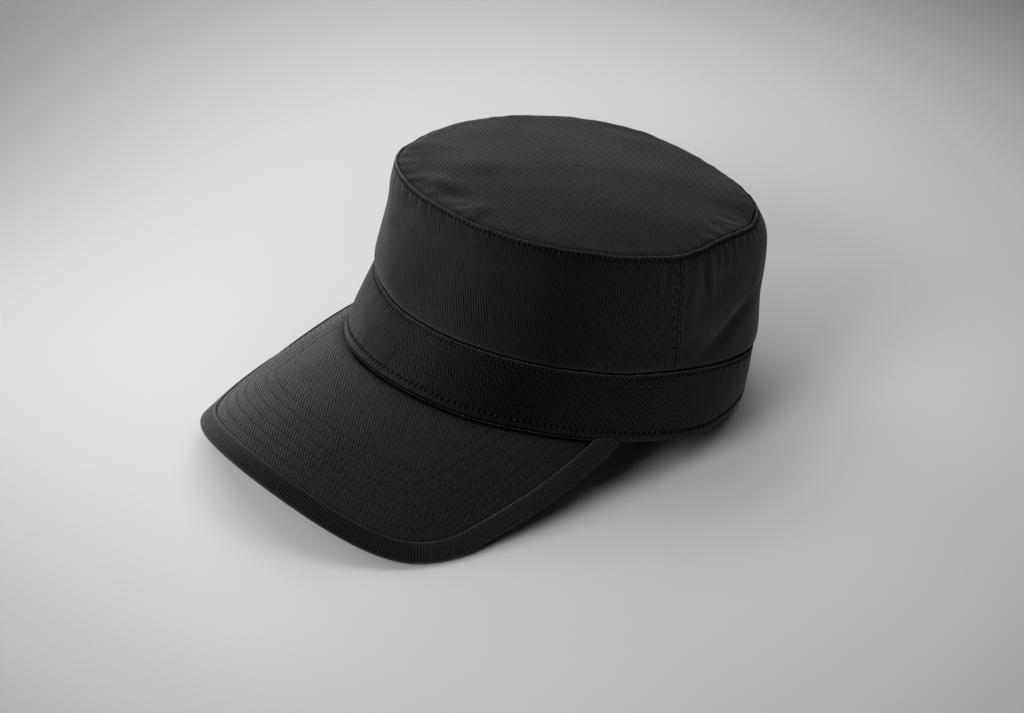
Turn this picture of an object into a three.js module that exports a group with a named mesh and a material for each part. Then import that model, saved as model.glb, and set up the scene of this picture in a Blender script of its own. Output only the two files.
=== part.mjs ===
import * as THREE from "three";

// A soft twill field cap, lying on its peak and on the back of its band.
// Millimetres, +Z up, the peak points to -Y. The cap is described upright, with the band's lower
// edge level, then leaned back about X and set down. Angles run round the cap in degrees:
// 0 at the middle of the front, 90 at the +X side, 180 at the back.

// ---- driving dimensions ----
const CLOTH = 1.5; // crown wall and top panel, two layers with their seam allowance
const BAND_WALL = 2.2; // doubled band
const PEAK_THICK = 2.6; // two cloth layers over a stiff board
const BINDING_WALL = 1.0; // folded bias strip
const BINDING_REACH = 8.9; // how far the strip reaches in over the peak, from its nose
const SEAM_GAP = 0.3; // clearance between neighbouring pieces
const LEAN_DEG = 12.44; // backward lean at rest: the peak holds the front up
const REST_SINK = 0.55; // how much of the soft edges is pressed flat where the cap rests
const LAP_DEPTH = 6.0; // crown cloth behind the band
const TOP_DROP = 0.6; // the top panel's rim lies this far below the crown wall's edge
const SIDE_SEAM_DEG = 84; // side seams of the crown, one each side
const PEAK_HALF_DEG = 71.19; // the peak's ends under the band
const STEP_DEG = 6; // facets round the cap

// Ovals that the cloth is hung on. square is the superellipse power; frontLift raises the front and
// lowers the back; endLift raises front and back and lowers the sides.
const OVALS = [
  { name: "band_low", half: 92.21, front: 99.29, rear: 94.86, square: 1.92, height: 0, frontLift: 0, endLift: 1.49 },
  { name: "band_top", half: 88.98, front: 83.71, rear: 94.76, square: 2.02, height: 27.07, frontLift: 2.05, endLift: -2.52 },
  { name: "crown_top", half: 78.91, front: 83.87, rear: 77.25, square: 2.17, height: 85.14, frontLift: -3.02, endLift: 0.23 },
];
// Slack of the cloth along those ovals: how far each one wanders out and up, by direction.
const SLACK = [
  { at: -150, lowOut: 0, lowUp: 0, midOut: 0, midUp: 0, topOut: 0.3, topUp: 1.2 },
  { at: -120, lowOut: 0, lowUp: 0, midOut: 0, midUp: 0, topOut: 0.2, topUp: 1 },
  { at: -90, lowOut: -0.1, lowUp: -0.1, midOut: 0, midUp: 0, topOut: 0.5, topUp: 0.7 },
  { at: -60, lowOut: -0.7, lowUp: -0.2, midOut: -0.1, midUp: -0.2, topOut: -0.7, topUp: 0 },
  { at: -35, lowOut: 0.5, lowUp: -0.7, midOut: 0.2, midUp: 0.4, topOut: 0.8, topUp: 0.8 },
  { at: -10, lowOut: 0.1, lowUp: 0.3, midOut: -0.1, midUp: -0.6, topOut: -0.2, topUp: 0 },
  { at: 10, lowOut: -0.2, lowUp: 0.5, midOut: 0, midUp: 0.1, topOut: -0.1, topUp: 0.3 },
  { at: 30, lowOut: 0.1, lowUp: -0.1, midOut: -0.1, midUp: 0.2, topOut: 0.1, topUp: -0.1 },
  { at: 50, lowOut: -0.3, lowUp: 0.7, midOut: 0, midUp: 0.1, topOut: 0.2, topUp: -0.4 },
  { at: 70, lowOut: -0.3, lowUp: 0.5, midOut: 0, midUp: -0.1, topOut: 0.6, topUp: -1.3 },
  { at: 85, lowOut: 0.1, lowUp: -0.1, midOut: -0.3, midUp: 0.5, topOut: 0.9, topUp: -1.8 },
  { at: 100, lowOut: 0.8, lowUp: -0.7, midOut: -0.1, midUp: 0.2, topOut: -0.9, topUp: 0.9 },
  { at: 112, lowOut: 0.2, lowUp: -0.2, midOut: 0.3, midUp: -0.2, topOut: -0.8, topUp: 0.9 },
  { at: 124, lowOut: 0.1, lowUp: 0.1, midOut: 0.8, midUp: -0.3, topOut: 0.1, topUp: 0 },
  { at: 136, lowOut: 0, lowUp: -0.2, midOut: -0.5, midUp: 0, topOut: 0.2, topUp: 1.5 },
  { at: 155, lowOut: -0.2, lowUp: -0.1, midOut: -0.1, midUp: 0, topOut: -0.8, topUp: 0.2 },
  { at: 180, lowOut: 0, lowUp: 0.1, midOut: 0, midUp: 0, topOut: -0.4, topUp: -0.4 },
];
// How far the crown wall bellies out between band and top seam: low on the wall and high on it.
const BELLY = { lowAt: 0.15, highAt: 0.68, lowFront: 1.16, lowSide: 1.55, lowRear: 2.12, highFront: -0.83, highSide: 1.05, highRear: 7.57 };
const DOME = 7.0; // rise of the top panel over its rim
// Soft dents and puckers. place: wall or top; at: direction; up: share of the wall's height, or of the
// way from the top's centre to its rim; wide: degrees; tall: share; out: depth in mm, inward if negative.
const FOLDS = [
  { place: "wall", at: 96, up: 0.55, wide: 7, tall: 0.34, out: -1.6 },
  { place: "wall", at: 108, up: 0.78, wide: 5, tall: 0.22, out: 1.1 },
  { place: "wall", at: 116, up: 0.35, wide: 9, tall: 0.22, out: -1.4 },
  { place: "wall", at: 74, up: 0.4, wide: 8, tall: 0.3, out: 0.8 },
  { place: "wall", at: 30, up: 0.5, wide: 22, tall: 0.35, out: -0.8 },
  { place: "wall", at: -96, up: 0.55, wide: 7, tall: 0.34, out: -1.3 },
  { place: "wall", at: -112, up: 0.7, wide: 8, tall: 0.25, out: 1.0 },
  { place: "wall", at: 160, up: 0.45, wide: 12, tall: 0.3, out: -1.4 },
  { place: "wall", at: 196, up: 0.6, wide: 10, tall: 0.3, out: 1.0 },
  { place: "top", at: -8, up: 0.86, wide: 16, tall: 0.12, out: -1.2 },
  { place: "top", at: 108, up: 0.84, wide: 12, tall: 0.14, out: -1.6 },
  { place: "top", at: 60, up: 0.9, wide: 18, tall: 0.1, out: -0.7 },
  { place: "top", at: 210, up: 0.85, wide: 20, tall: 0.15, out: -1.2 },
  { place: "top", at: -70, up: 0.88, wide: 16, tall: 0.12, out: -0.9 },
];
// The peak: a slope with a round arch across it, cut to an oval front with straight sides.
const PEAK = { slope: 0.58, arch: 117.71, archPerLength: -0.41, rise: 5.22, half: 86.56, length: 67.01, square: 1.95, widestY: -101.45, flare: 6.57 };
// Where the cap ends up in its own frame, so that its box stands centred on the origin.
const PLACE = { x: -0.23, y: 33.68, z: 0 };

const COLOURS = { cloth: 0x1b1c1d, band: 0x191a1b, peak: 0x1c1d1e, binding: 0x18191a };

// ---- helpers ----
const RAD = Math.PI / 180;
const power = (v, p) => Math.sign(v) * Math.pow(Math.abs(v), p);
const lerp = (a, b, t) => a.map((v, i) => v + (b[i] - v) * t);
const clamp01 = (v) => Math.min(1, Math.max(0, v));

// Periodic cubic through one column of the slack table.
function slack(column, deg) {
  const n = SLACK.length;
  const at = (i) => SLACK[((i % n) + n) % n].at + 360 * Math.floor(i / n);
  const value = (i) => SLACK[((i % n) + n) % n][column];
  const first = SLACK[0].at;
  const q = ((((deg - first) % 360) + 360) % 360) + first;
  let i = n - 1;
  for (let k = 0; k < n - 1; k++) if (q < at(k + 1)) { i = k; break; }
  const h = at(i + 1) - at(i);
  const t = (q - at(i)) / h;
  const m0 = (value(i + 1) - value(i - 1)) / (at(i + 1) - at(i - 1));
  const m1 = (value(i + 2) - value(i)) / (at(i + 2) - at(i));
  const t2 = t * t, t3 = t2 * t;
  return (2 * t3 - 3 * t2 + 1) * value(i) + (t3 - 2 * t2 + t) * h * m0 + (3 * t2 - 2 * t3) * value(i + 1) + (t3 - t2) * h * m1;
}
const SLACK_COLUMNS = [["lowOut", "lowUp"], ["midOut", "midUp"], ["topOut", "topUp"]];

function plainOval(k, deg) {
  const o = OVALS[k];
  const c = Math.cos(deg * RAD), s = Math.sin(deg * RAD);
  return [
    o.half * power(s, 2 / o.square),
    -(c > 0 ? o.front : o.rear) * power(c, 2 / o.square),
    o.height + o.frontLift * c + o.endLift * Math.cos(2 * deg * RAD),
  ];
}
// Level unit vector pointing out of the cap at a direction.
function outward(k, deg) {
  const a = plainOval(k, deg - 0.05), b = plainOval(k, deg + 0.05);
  const nx = b[1] - a[1], ny = a[0] - b[0], l = Math.hypot(nx, ny);
  return [nx / l, ny / l, 0];
}
function oval(k, deg, inset = 0, up = 0) {
  const p = plainOval(k, deg), n = outward(k, deg);
  const out = slack(SLACK_COLUMNS[k][0], deg) - inset;
  return [p[0] + n[0] * out, p[1] + n[1] * out, p[2] + slack(SLACK_COLUMNS[k][1], deg) + up];
}
// One hump between 0 and 1 whose crest is at m.
function hump(s, m) {
  const a = m <= 0.5 ? 1 : m / (1 - m), b = m <= 0.5 ? (1 - m) / m : 1;
  return (Math.pow(clamp01(s), a) * Math.pow(clamp01(1 - s), b)) / (Math.pow(m, a) * Math.pow(1 - m, b));
}
function folds(place, deg, up) {
  let sum = 0;
  for (const f of FOLDS) {
    if (f.place !== place) continue;
    const d = ((((deg - f.at + 180) % 360) + 360) % 360) - 180;
    sum += f.out * Math.exp(-((d / f.wide) ** 2) - ((up - f.up) / f.tall) ** 2);
  }
  return sum;
}

// ---- the cloth surfaces, upright ----
// Crown wall. up runs from the band's top edge (0) to the top seam (1); inset is a level distance inward.
function wall(deg, up, inset) {
  const low = oval(1, deg), high = oval(2, deg), n = outward(1, deg);
  const c = Math.cos(deg * RAD), end = c * c;
  const by = (front, side, rear) => side * (1 - end) + (c > 0 ? front : rear) * end;
  const belly =
    by(BELLY.lowFront, BELLY.lowSide, BELLY.lowRear) * hump(up, BELLY.lowAt) +
    by(BELLY.highFront, BELLY.highSide, BELLY.highRear) * hump(up, BELLY.highAt);
  const out = belly + folds("wall", deg, up) * Math.sin(Math.PI * clamp01(up)) - inset;
  const p = lerp(low, high, Math.max(up, 0));
  return [p[0] + n[0] * out, p[1] + n[1] * out, p[2]];
}
// Stations up the crown wall: below the band's edge it is tucked in behind the band.
const TUCK = BAND_WALL + SEAM_GAP + 0.1;
const WALL_STATIONS = [
  { up: 0, drop: LAP_DEPTH, inset: TUCK },
  { up: 0, drop: 0, inset: TUCK },
  { up: 0.035, drop: 0, inset: 0.8 },
  { up: 0.08, drop: 0, inset: 0 },
  { up: 0.18, drop: 0, inset: 0 },
  { up: 0.34, drop: 0, inset: 0 },
  { up: 0.52, drop: 0, inset: 0 },
  { up: 0.7, drop: 0, inset: 0 },
  { up: 0.86, drop: 0, inset: 0 },
  { up: 1, drop: 0, inset: 0 },
];
function wallStation(deg, row, inset) {
  const s = WALL_STATIONS[row];
  if (s.drop > 0) {
    const t = s.drop / OVALS[1].height;
    return lerp(oval(1, deg, s.inset + inset), oval(0, deg, s.inset + inset), t);
  }
  return wall(deg, s.up, s.inset + inset);
}
// Band wall. up runs from its lower edge (0) to its top edge (1).
function bandWall(deg, up, inset) {
  const p = lerp(oval(0, deg), oval(1, deg), up), n = outward(0, deg);
  const out = 0.7 * Math.sin(Math.PI * up) - inset;
  return [p[0] + n[0] * out, p[1] + n[1] * out, p[2]];
}
// Top panel. far runs from its centre (0) to its rim (1).
const RIM_INSET = CLOTH + SEAM_GAP + 0.2;
function topPanel(deg, far, drop) {
  const rim = oval(2, deg, RIM_INSET), o = OVALS[2], cy = (o.rear - o.front) / 2;
  const c = Math.cos(deg * RAD);
  const z =
    o.height + o.frontLift * c * far + o.endLift * Math.cos(2 * deg * RAD) * far * far +
    slack("topUp", deg) * far * far + DOME * (1 - far * far) + folds("top", deg, far) * Math.sin(Math.PI * clamp01(far)) * 1.6;
  return [rim[0] * far, cy + (rim[1] - cy) * far, z - TOP_DROP - drop];
}
// The peak's middle surface at a point of its plan.
function peakHeight(x, y) {
  const past = -(y + OVALS[0].front);
  const r = PEAK.arch + PEAK.archPerLength * past;
  const ax = Math.min(Math.abs(x), r * 0.97);
  return PEAK.rise - PEAK.slope * past - (r - Math.sqrt(r * r - ax * ax));
}
const END_DIP = SEAM_GAP + PEAK_THICK / 2; // the edge dips under the band at its ends
// The peak's outer edge. run goes from -1 to 1; within 0.8 it is the oval front, past it the straight side.
function peakEdge(run) {
  const a = Math.abs(run), t = clamp01(a / 0.8) * Math.PI * 0.5;
  const end = oval(0, PEAK_HALF_DEG);
  let x = PEAK.half * Math.pow(Math.sin(t), 2 / PEAK.square);
  let y = PEAK.widestY - (OVALS[0].front + PEAK.length + PEAK.widestY) * Math.pow(Math.max(Math.cos(t), 0), 2 / PEAK.square);
  if (a > 0.8) {
    const k = (a - 0.8) / 0.2;
    x = PEAK.half + (end[0] - PEAK.half) * k + PEAK.flare * 0.5 * Math.sin(Math.PI * k);
    y = PEAK.widestY + (end[1] - PEAK.widestY) * k;
  }
  const z = peakHeight(x, y) + (end[2] - peakHeight(end[0], end[1])) * clamp01((a - 0.6) / 0.4) ** 2 - END_DIP * clamp01((a - 0.85) / 0.15) ** 2;
  return [Math.sign(run || 1) * x, y, z];
}
const seamDirection = (run) => PEAK_HALF_DEG * (0.7 * run + 0.3 * run ** 3);
// The line where the peak's middle surface meets the band.
function peakSeam(run, inset = 0) {
  return oval(0, seamDirection(run), inset, -SEAM_GAP - PEAK_THICK / 2);
}
// A point of the peak's middle surface, a share of the way in from the edge (0) to the band (1).
function peakMiddle(run, share) {
  const o = peakEdge(run), s = peakSeam(run), p = lerp(o, s, share);
  const bend = 2 - clamp01((Math.abs(run) - 0.6) / 0.4);
  p[2] = peakHeight(p[0], p[1]) + (o[2] - peakHeight(o[0], o[1])) * (1 - share) + (s[2] - peakHeight(s[0], s[1])) * Math.sign(share) * Math.abs(share) ** bend;
  return p;
}
function peakWidth(run) {
  const o = peakEdge(run), s = peakSeam(run);
  return Math.hypot(o[0] - s[0], o[1] - s[1], o[2] - s[2]);
}
// Unit vector out of the peak's upper side.
function peakUp(run, share) {
  const e = 0.01, a = peakMiddle(run - e, share), b = peakMiddle(run + e, share);
  const c = peakMiddle(run, Math.max(share - 0.02, 0)), d = peakMiddle(run, share + 0.02);
  const u = new THREE.Vector3(b[0] - a[0], b[1] - a[1], b[2] - a[2]);
  const v = new THREE.Vector3(d[0] - c[0], d[1] - c[1], d[2] - c[2]);
  const n = u.cross(v).normalize();
  return [n.x, n.y, n.z];
}

// ---- setting the cap down ----
const LEAN = { c: Math.cos(LEAN_DEG * RAD), s: Math.sin(LEAN_DEG * RAD) };
const lean = (p) => [p[0], p[1] * LEAN.c + p[2] * LEAN.s, -p[1] * LEAN.s + p[2] * LEAN.c];
const FLOOR = Math.min(...Array.from({ length: 13 }, (_, i) => lean(bandWall(150 + 5 * i, 0, 0))[2])) + REST_SINK;
function setDown(p) {
  const q = lean(p);
  return [q[0] + PLACE.x, q[1] + PLACE.y, Math.max(q[2] - FLOOR, 0) + PLACE.z];
}

// ---- closed bodies from grids of points ----
// rings[j][i] is point i of ring j, all rings alike; closed says that each ring runs round to its start.
// The rings follow one another round the section of the body, so the last ring joins the first.
function loopBody(rings, closed) {
  const nj = rings.length, ni = rings[0].length, position = [], index = [];
  for (const ring of rings) for (const p of ring) position.push(...setDown(p));
  const id = (j, i) => (j % nj) * ni + (closed ? i % ni : i);
  for (let j = 0; j < nj; j++)
    for (let i = 0; i < (closed ? ni : ni - 1); i++)
      index.push(id(j, i), id(j, i + 1), id(j + 1, i + 1), id(j, i), id(j + 1, i + 1), id(j + 1, i));
  return { position, index, id, nj, ni };
}
function geometryOf(position, index) {
  const g = new THREE.BufferGeometry();
  g.setAttribute("position", new THREE.Float32BufferAttribute(position, 3));
  g.setIndex(index);
  g.computeVertexNormals();
  return g;
}
// A sheet of cloth: outer(i, j) and inner(i, j) over ni by nj points, i counter-clockwise seen from above
// and j upward. closed sheets run all the way round.
function sheet(ni, nj, outer, inner, closed) {
  const rings = [];
  for (let j = 0; j < nj; j++) rings.push(Array.from({ length: ni }, (_, i) => outer(i, j)));
  for (let j = nj - 1; j >= 0; j--) rings.push(Array.from({ length: ni }, (_, i) => inner(i, j)));
  const { position, index, id } = loopBody(rings, closed);
  if (!closed)
    for (const [i, flip] of [[0, false], [ni - 1, true]])
      for (let j = 0; j < nj - 1; j++) {
        const a = id(j, i), b = id(j + 1, i), c = id(2 * nj - 2 - j, i), d = id(2 * nj - 1 - j, i);
        if (flip) index.push(a, d, c, a, c, b);
        else index.push(a, b, c, a, c, d);
      }
  return geometryOf(position, index);
}
// A round dish: upper(deg, far) over its lower side, closed at its centre and rim.
function dish(steps, rows, upper, lower) {
  const position = [], index = [];
  const put = (p) => position.push(...setDown(p)) / 3 - 1;
  const side = (surface) => {
    const ids = rows.map((far) => Array.from({ length: steps }, (_, i) => put(surface((360 / steps) * i, far))));
    return { ids, centre: put(surface(0, 0)) };
  };
  const up = side(upper), down = side(lower);
  for (const [s, turn] of [[up, false], [down, true]]) {
    const tri = (a, b, c) => (turn ? index.push(a, c, b) : index.push(a, b, c));
    for (let j = 0; j < rows.length - 1; j++)
      for (let i = 0; i < steps; i++) {
        const k = (i + 1) % steps;
        tri(s.ids[j][i], s.ids[j][k], s.ids[j + 1][k]);
        tri(s.ids[j][i], s.ids[j + 1][k], s.ids[j + 1][i]);
      }
    const last = s.ids[rows.length - 1];
    for (let i = 0; i < steps; i++) tri(last[i], last[(i + 1) % steps], s.centre);
  }
  for (let i = 0; i < steps; i++) {
    const k = (i + 1) % steps;
    index.push(down.ids[0][i], down.ids[0][k], up.ids[0][k], down.ids[0][i], up.ids[0][k], up.ids[0][i]);
  }
  return geometryOf(position, index);
}

// ---- the pieces ----
const turns = Math.round(360 / STEP_DEG);

function crownPanel(from, to) {
  const count = Math.round((to - from) / STEP_DEG) + 1;
  const trim = (0.5 * SEAM_GAP) / 84 / RAD; // half of the seam gap, as an angle
  const deg = (i) => from + trim + ((to - from - 2 * trim) * i) / (count - 1);
  return sheet(count, WALL_STATIONS.length, (i, j) => wallStation(deg(i), j, 0), (i, j) => wallStation(deg(i), j, CLOTH), false);
}
const crownFront = crownPanel(-SIDE_SEAM_DEG, SIDE_SEAM_DEG);
const crownBack = crownPanel(SIDE_SEAM_DEG, 360 - SIDE_SEAM_DEG);

const TOP_ROWS = [1, 0.94, 0.85, 0.7, 0.48, 0.24];
const crownTop = dish(turns, TOP_ROWS, (deg, far) => topPanel(deg, far, 0), (deg, far) => topPanel(deg, far, CLOTH));

const BAND_ROWS = [0, 0.12, 0.5, 0.88, 1];
const band = sheet(turns, BAND_ROWS.length, (i, j) => bandWall(STEP_DEG * i, BAND_ROWS[j], 0), (i, j) => bandWall(STEP_DEG * i, BAND_ROWS[j], BAND_WALL), true);

// Peak plate: from just inside the binding's nose to under the band's inner face.
const PEAK_RUNS = 44, PEAK_END = 0.985, PLATE_INSET = 2.25;
const run = (i) => -PEAK_END + (2 * PEAK_END * i) / PEAK_RUNS;
const PEAK_SHARES = [0, 0.1, 0.24, 0.42, 0.62, 0.82, 1];
const plateInset = (r) => Math.min(PLATE_INSET, 0.45 * peakWidth(r)) / peakWidth(r);
function platePoint(i, j, side) {
  const r = run(i);
  if (j > PEAK_SHARES.length - 1) {
    // the strip under the band follows the band's lower edge
    const p = peakSeam(r, BAND_WALL);
    return [p[0], p[1], p[2] + (side * PEAK_THICK) / 2];
  }
  const from = plateInset(r), share = from + (1 - from) * PEAK_SHARES[j];
  const p = peakMiddle(r, share);
  // square to the surface outside, upright at the seam and at the ends
  const tilt = Math.min(1 - clamp01((share - 0.86) / 0.14), clamp01((1 - Math.abs(r)) / 0.04));
  const n = peakUp(r, share), d = [n[0] * tilt, n[1] * tilt, n[2] * tilt + (1 - tilt)];
  const l = Math.hypot(...d) / ((side * PEAK_THICK) / 2);
  return [p[0] + d[0] / l, p[1] + d[1] / l, p[2] + d[2] / l];
}
const peak = sheet(PEAK_RUNS + 1, PEAK_SHARES.length + 1, (i, j) => platePoint(i, j, 1), (i, j) => platePoint(i, j, -1), false);

// Binding: a folded strip whose section is a hook round the plate's edge.
const LEG_SHARES = [1, 0.55, 0.2]; // stations along each leg, from its inner end towards the nose
const NOSE_DEGS = [90, 50, 15, -15, -50, -90];
function bindingReach(r) {
  return Math.min(BINDING_REACH, 0.9 * peakWidth(r) - 0.9);
}
function bindingPoint(r, along, high) {
  // along: distance in from the nose line; high: distance off the middle surface
  const share = along / peakWidth(r), p = peakMiddle(r, Math.max(share, 0)), n = peakUp(r, Math.max(share, 0));
  if (share < 0) {
    const q = peakMiddle(r, 0.02), o = peakMiddle(r, 0), l = Math.hypot(q[0] - o[0], q[1] - o[1], q[2] - o[2]);
    for (let i = 0; i < 3; i++) p[i] += ((q[i] - o[i]) / l) * along;
  }
  return p.map((v, i) => v + n[i] * high);
}
function bindingSection(r) {
  const inner = PEAK_THICK / 2 + SEAM_GAP, outer = inner + BINDING_WALL, reach = bindingReach(r), nose = outer * 0.55;
  const points = [];
  const hook = (half, back) => {
    const list = [];
    for (const s of LEG_SHARES) list.push([back + (reach - back) * s, half]);
    for (const a of NOSE_DEGS) list.push([back - (back - (outer - half)) * Math.cos(a * RAD), half * Math.sin(a * RAD)]);
    for (const s of [...LEG_SHARES].reverse()) list.push([back + (reach - back) * s, -half]);
    return list;
  };
  points.push(...hook(outer, nose));
  points.push(...hook(inner, nose + BINDING_WALL * 0.3).reverse());
  return points.reverse().map(([along, high]) => bindingPoint(r, along, high));
}
function bindingBody() {
  const sections = Array.from({ length: PEAK_RUNS - 1 }, (_, i) => bindingSection(run(i + 1)));
  const n = sections[0].length;
  const rings = Array.from({ length: n }, (_, j) => sections.map((s) => s[j]));
  const { position, index, id, ni } = loopBody(rings, false);
  // the two cut ends of the strip, bridged leg by leg
  for (const [i, flip] of [[0, false], [ni - 1, true]])
    for (let j = 0; j < n / 2 - 1; j++) {
      const a = id(j, i), b = id(j + 1, i), c = id(n - 2 - j, i), d = id(n - 1 - j, i);
      if (flip) index.push(a, d, c, a, c, b);
      else index.push(a, b, c, a, c, d);
    }
  return geometryOf(position, index);
}

// ---- assembly ----
const group = new THREE.Group();
function add(name, geometry, colour, roughness) {
  const mesh = new THREE.Mesh(geometry, new THREE.MeshStandardMaterial({ color: colour, roughness, metalness: 0 }));
  mesh.name = name;
  group.add(mesh);
}
add("crown_top", crownTop, COLOURS.cloth, 0.9);
add("crown_front", crownFront, COLOURS.cloth, 0.9);
add("crown_back", crownBack, COLOURS.cloth, 0.9);
add("band", band, COLOURS.band, 0.9);
add("peak", peak, COLOURS.peak, 0.88);
add("peak_binding", bindingBody(), COLOURS.binding, 0.85);

export default group;
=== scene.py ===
import math

import bpy
import numpy as np
from mathutils import Matrix, Vector
from mathutils.kdtree import KDTree


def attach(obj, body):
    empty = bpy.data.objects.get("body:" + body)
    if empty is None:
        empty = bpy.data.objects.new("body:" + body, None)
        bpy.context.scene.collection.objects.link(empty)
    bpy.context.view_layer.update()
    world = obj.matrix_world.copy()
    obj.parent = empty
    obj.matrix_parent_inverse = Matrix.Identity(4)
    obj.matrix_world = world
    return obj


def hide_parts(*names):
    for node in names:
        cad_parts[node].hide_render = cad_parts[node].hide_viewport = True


# Looks for a twill field cap. The cloth is described upright in millimetres, as the solids are, then
# leaned back and set down. Angles run round the cap: 0 at the front, 90 at the +X side, 180 at the back.

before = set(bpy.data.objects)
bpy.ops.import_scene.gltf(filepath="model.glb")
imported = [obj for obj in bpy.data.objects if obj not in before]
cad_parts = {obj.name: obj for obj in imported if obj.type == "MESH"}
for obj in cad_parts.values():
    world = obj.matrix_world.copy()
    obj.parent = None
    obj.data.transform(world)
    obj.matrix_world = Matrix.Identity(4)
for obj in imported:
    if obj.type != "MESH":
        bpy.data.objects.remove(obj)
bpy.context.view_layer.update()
scene = bpy.context.scene
RAD = math.pi / 180

# ---- sizes shared with the solids (mm, degrees) ----
CLOTH, BAND_WALL, PEAK_THICK, BINDING_WALL, BINDING_REACH, SEAM_GAP = 1.5, 2.2, 2.6, 1.0, 8.9, 0.3
LEAN_DEG, REST_SINK = 12.44, 0.55
TOP_DROP, SIDE_SEAM_DEG, PEAK_HALF_DEG = 0.6, 84.0, 71.19
PLACE = (-0.23, 33.68, 0.0)

# half, front, rear, square, height, frontLift, endLift
OVALS = [
    (92.21, 99.29, 94.86, 1.92, 0.0, 0.0, 1.49),
    (88.98, 83.71, 94.76, 2.02, 27.07, 2.05, -2.52),
    (78.91, 83.87, 77.25, 2.17, 85.14, -3.02, 0.23),
]
# at, lowOut, lowUp, midOut, midUp, topOut, topUp
SLACK = np.array([
    (-150, 0, 0, 0, 0, 0.3, 1.2), (-120, 0, 0, 0, 0, 0.2, 1), (-90, -0.1, -0.1, 0, 0, 0.5, 0.7),
    (-60, -0.7, -0.2, -0.1, -0.2, -0.7, 0), (-35, 0.5, -0.7, 0.2, 0.4, 0.8, 0.8), (-10, 0.1, 0.3, -0.1, -0.6, -0.2, 0),
    (10, -0.2, 0.5, 0, 0.1, -0.1, 0.3), (30, 0.1, -0.1, -0.1, 0.2, 0.1, -0.1), (50, -0.3, 0.7, 0, 0.1, 0.2, -0.4),
    (70, -0.3, 0.5, 0, -0.1, 0.6, -1.3), (85, 0.1, -0.1, -0.3, 0.5, 0.9, -1.8), (100, 0.8, -0.7, -0.1, 0.2, -0.9, 0.9),
    (112, 0.2, -0.2, 0.3, -0.2, -0.8, 0.9), (124, 0.1, 0.1, 0.8, -0.3, 0.1, 0), (136, 0, -0.2, -0.5, 0, 0.2, 1.5),
    (155, -0.2, -0.1, -0.1, 0, -0.8, 0.2), (180, 0, 0.1, 0, 0, -0.4, -0.4),
], float)
BELLY = dict(lowAt=0.15, highAt=0.68, low=(1.16, 1.55, 2.12), high=(-0.83, 1.05, 7.57))
DOME = 7.0
# Soft dents in wall and top: at, up, wide, tall, out, and for the wall how far it leans, in degrees from
# bottom to top.
WALL_FOLDS = [
    # right side seam and just behind it
    (104, 0.26, 5.5, 0.2, -2.4, 62), (99.5, 0.46, 5.0, 0.18, 0.55, 62), (113, 0.14, 6, 0.1, -0.6, 20), (95.6, 0.78, 1.5, 0.2, 0.5, -4),
    (92.3, 0.84, 1.5, 0.2, -1.1, -9), (97.6, 0.91, 1.3, 0.09, -0.85, 0), (101.5, 0.92, 1.2, 0.075, -0.7, 0), (106, 0.93, 1.3, 0.065, -0.6, 0),
    (110.5, 0.95, 1.1, 0.05, -0.35, 0), (99.6, 0.88, 1.0, 0.1, 0.3, 2), (103.8, 0.88, 1.1, 0.09, 0.28, 2), (108.3, 0.88, 1.2, 0.1, 0.25, 2),
    (89.4, 0.72, 1.5, 0.2, 0.45, 0), (69.5, 0.91, 1.6, 0.08, -0.75, -30), (65.5, 0.9, 1.6, 0.06, 0.3, -20), (76.8, 0.8, 1.9, 0.13, 0.4, 0),
    (79.4, 0.87, 1.3, 0.12, -0.8, 0), (73, 0.9, 1.4, 0.05, 0.25, 0), (73, 0.35, 5, 0.25, 0.5, 10), (121.5, 0.58, 4, 0.12, 0.6, 20), (135.5, 0.38, 4, 0.12, -1.0, 10),
    # front and left
    (30, 0.5, 22, 0.35, -0.8, 0), (25, 0.6, 3, 0.25, 0.3, 0), (9.5, 0.92, 2.0, 0.06, 0.4, -14), (13.2, 0.9, 2.2, 0.07, -0.3, -14),
    (-24, 0.94, 2.0, 0.05, -0.7, 0), (-29, 0.73, 4, 0.12, 0.5, 0), (-15, 0.7, 5, 0.12, -0.5, 20), (-34, 0.9, 1.6, 0.07, -0.4, 0), (-4, 0.45, 6, 0.2, 0.4, 20),
    (2, 0.9, 1.6, 0.06, 0.3, -10), (45, 0.93, 1.4, 0.04, -0.25, 0), (58, 0.93, 1.3, 0.04, -0.22, 0),
    # left side seam and the back
    (-104, 0.28, 5.5, 0.22, -1.6, -55), (-96, 0.74, 2.2, 0.22, 0.6, -6), (-92.5, 0.84, 1.4, 0.18, -0.6, 8), (-98.5, 0.92, 1.2, 0.08, -0.45, 0),
    (-103, 0.93, 1.2, 0.07, -0.4, 0), (-108, 0.93, 1.2, 0.06, -0.35, 0), (-76, 0.8, 2.4, 0.16, 0.4, 0), (-69, 0.92, 1.8, 0.07, -0.45, 20),
    (160, 0.45, 12, 0.3, -1.4, 10), (176, 0.55, 5, 0.25, 0.7, -10), (196, 0.6, 10, 0.3, 1.0, 15), (212, 0.4, 6, 0.25, -0.8, -20),
    (150, 0.93, 1.6, 0.06, -0.35, 0), (168, 0.93, 1.6, 0.06, -0.35, 0), (190, 0.93, 1.8, 0.06, -0.35, 0), (224, 0.93, 1.6, 0.06, -0.3, 0),
]
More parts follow.
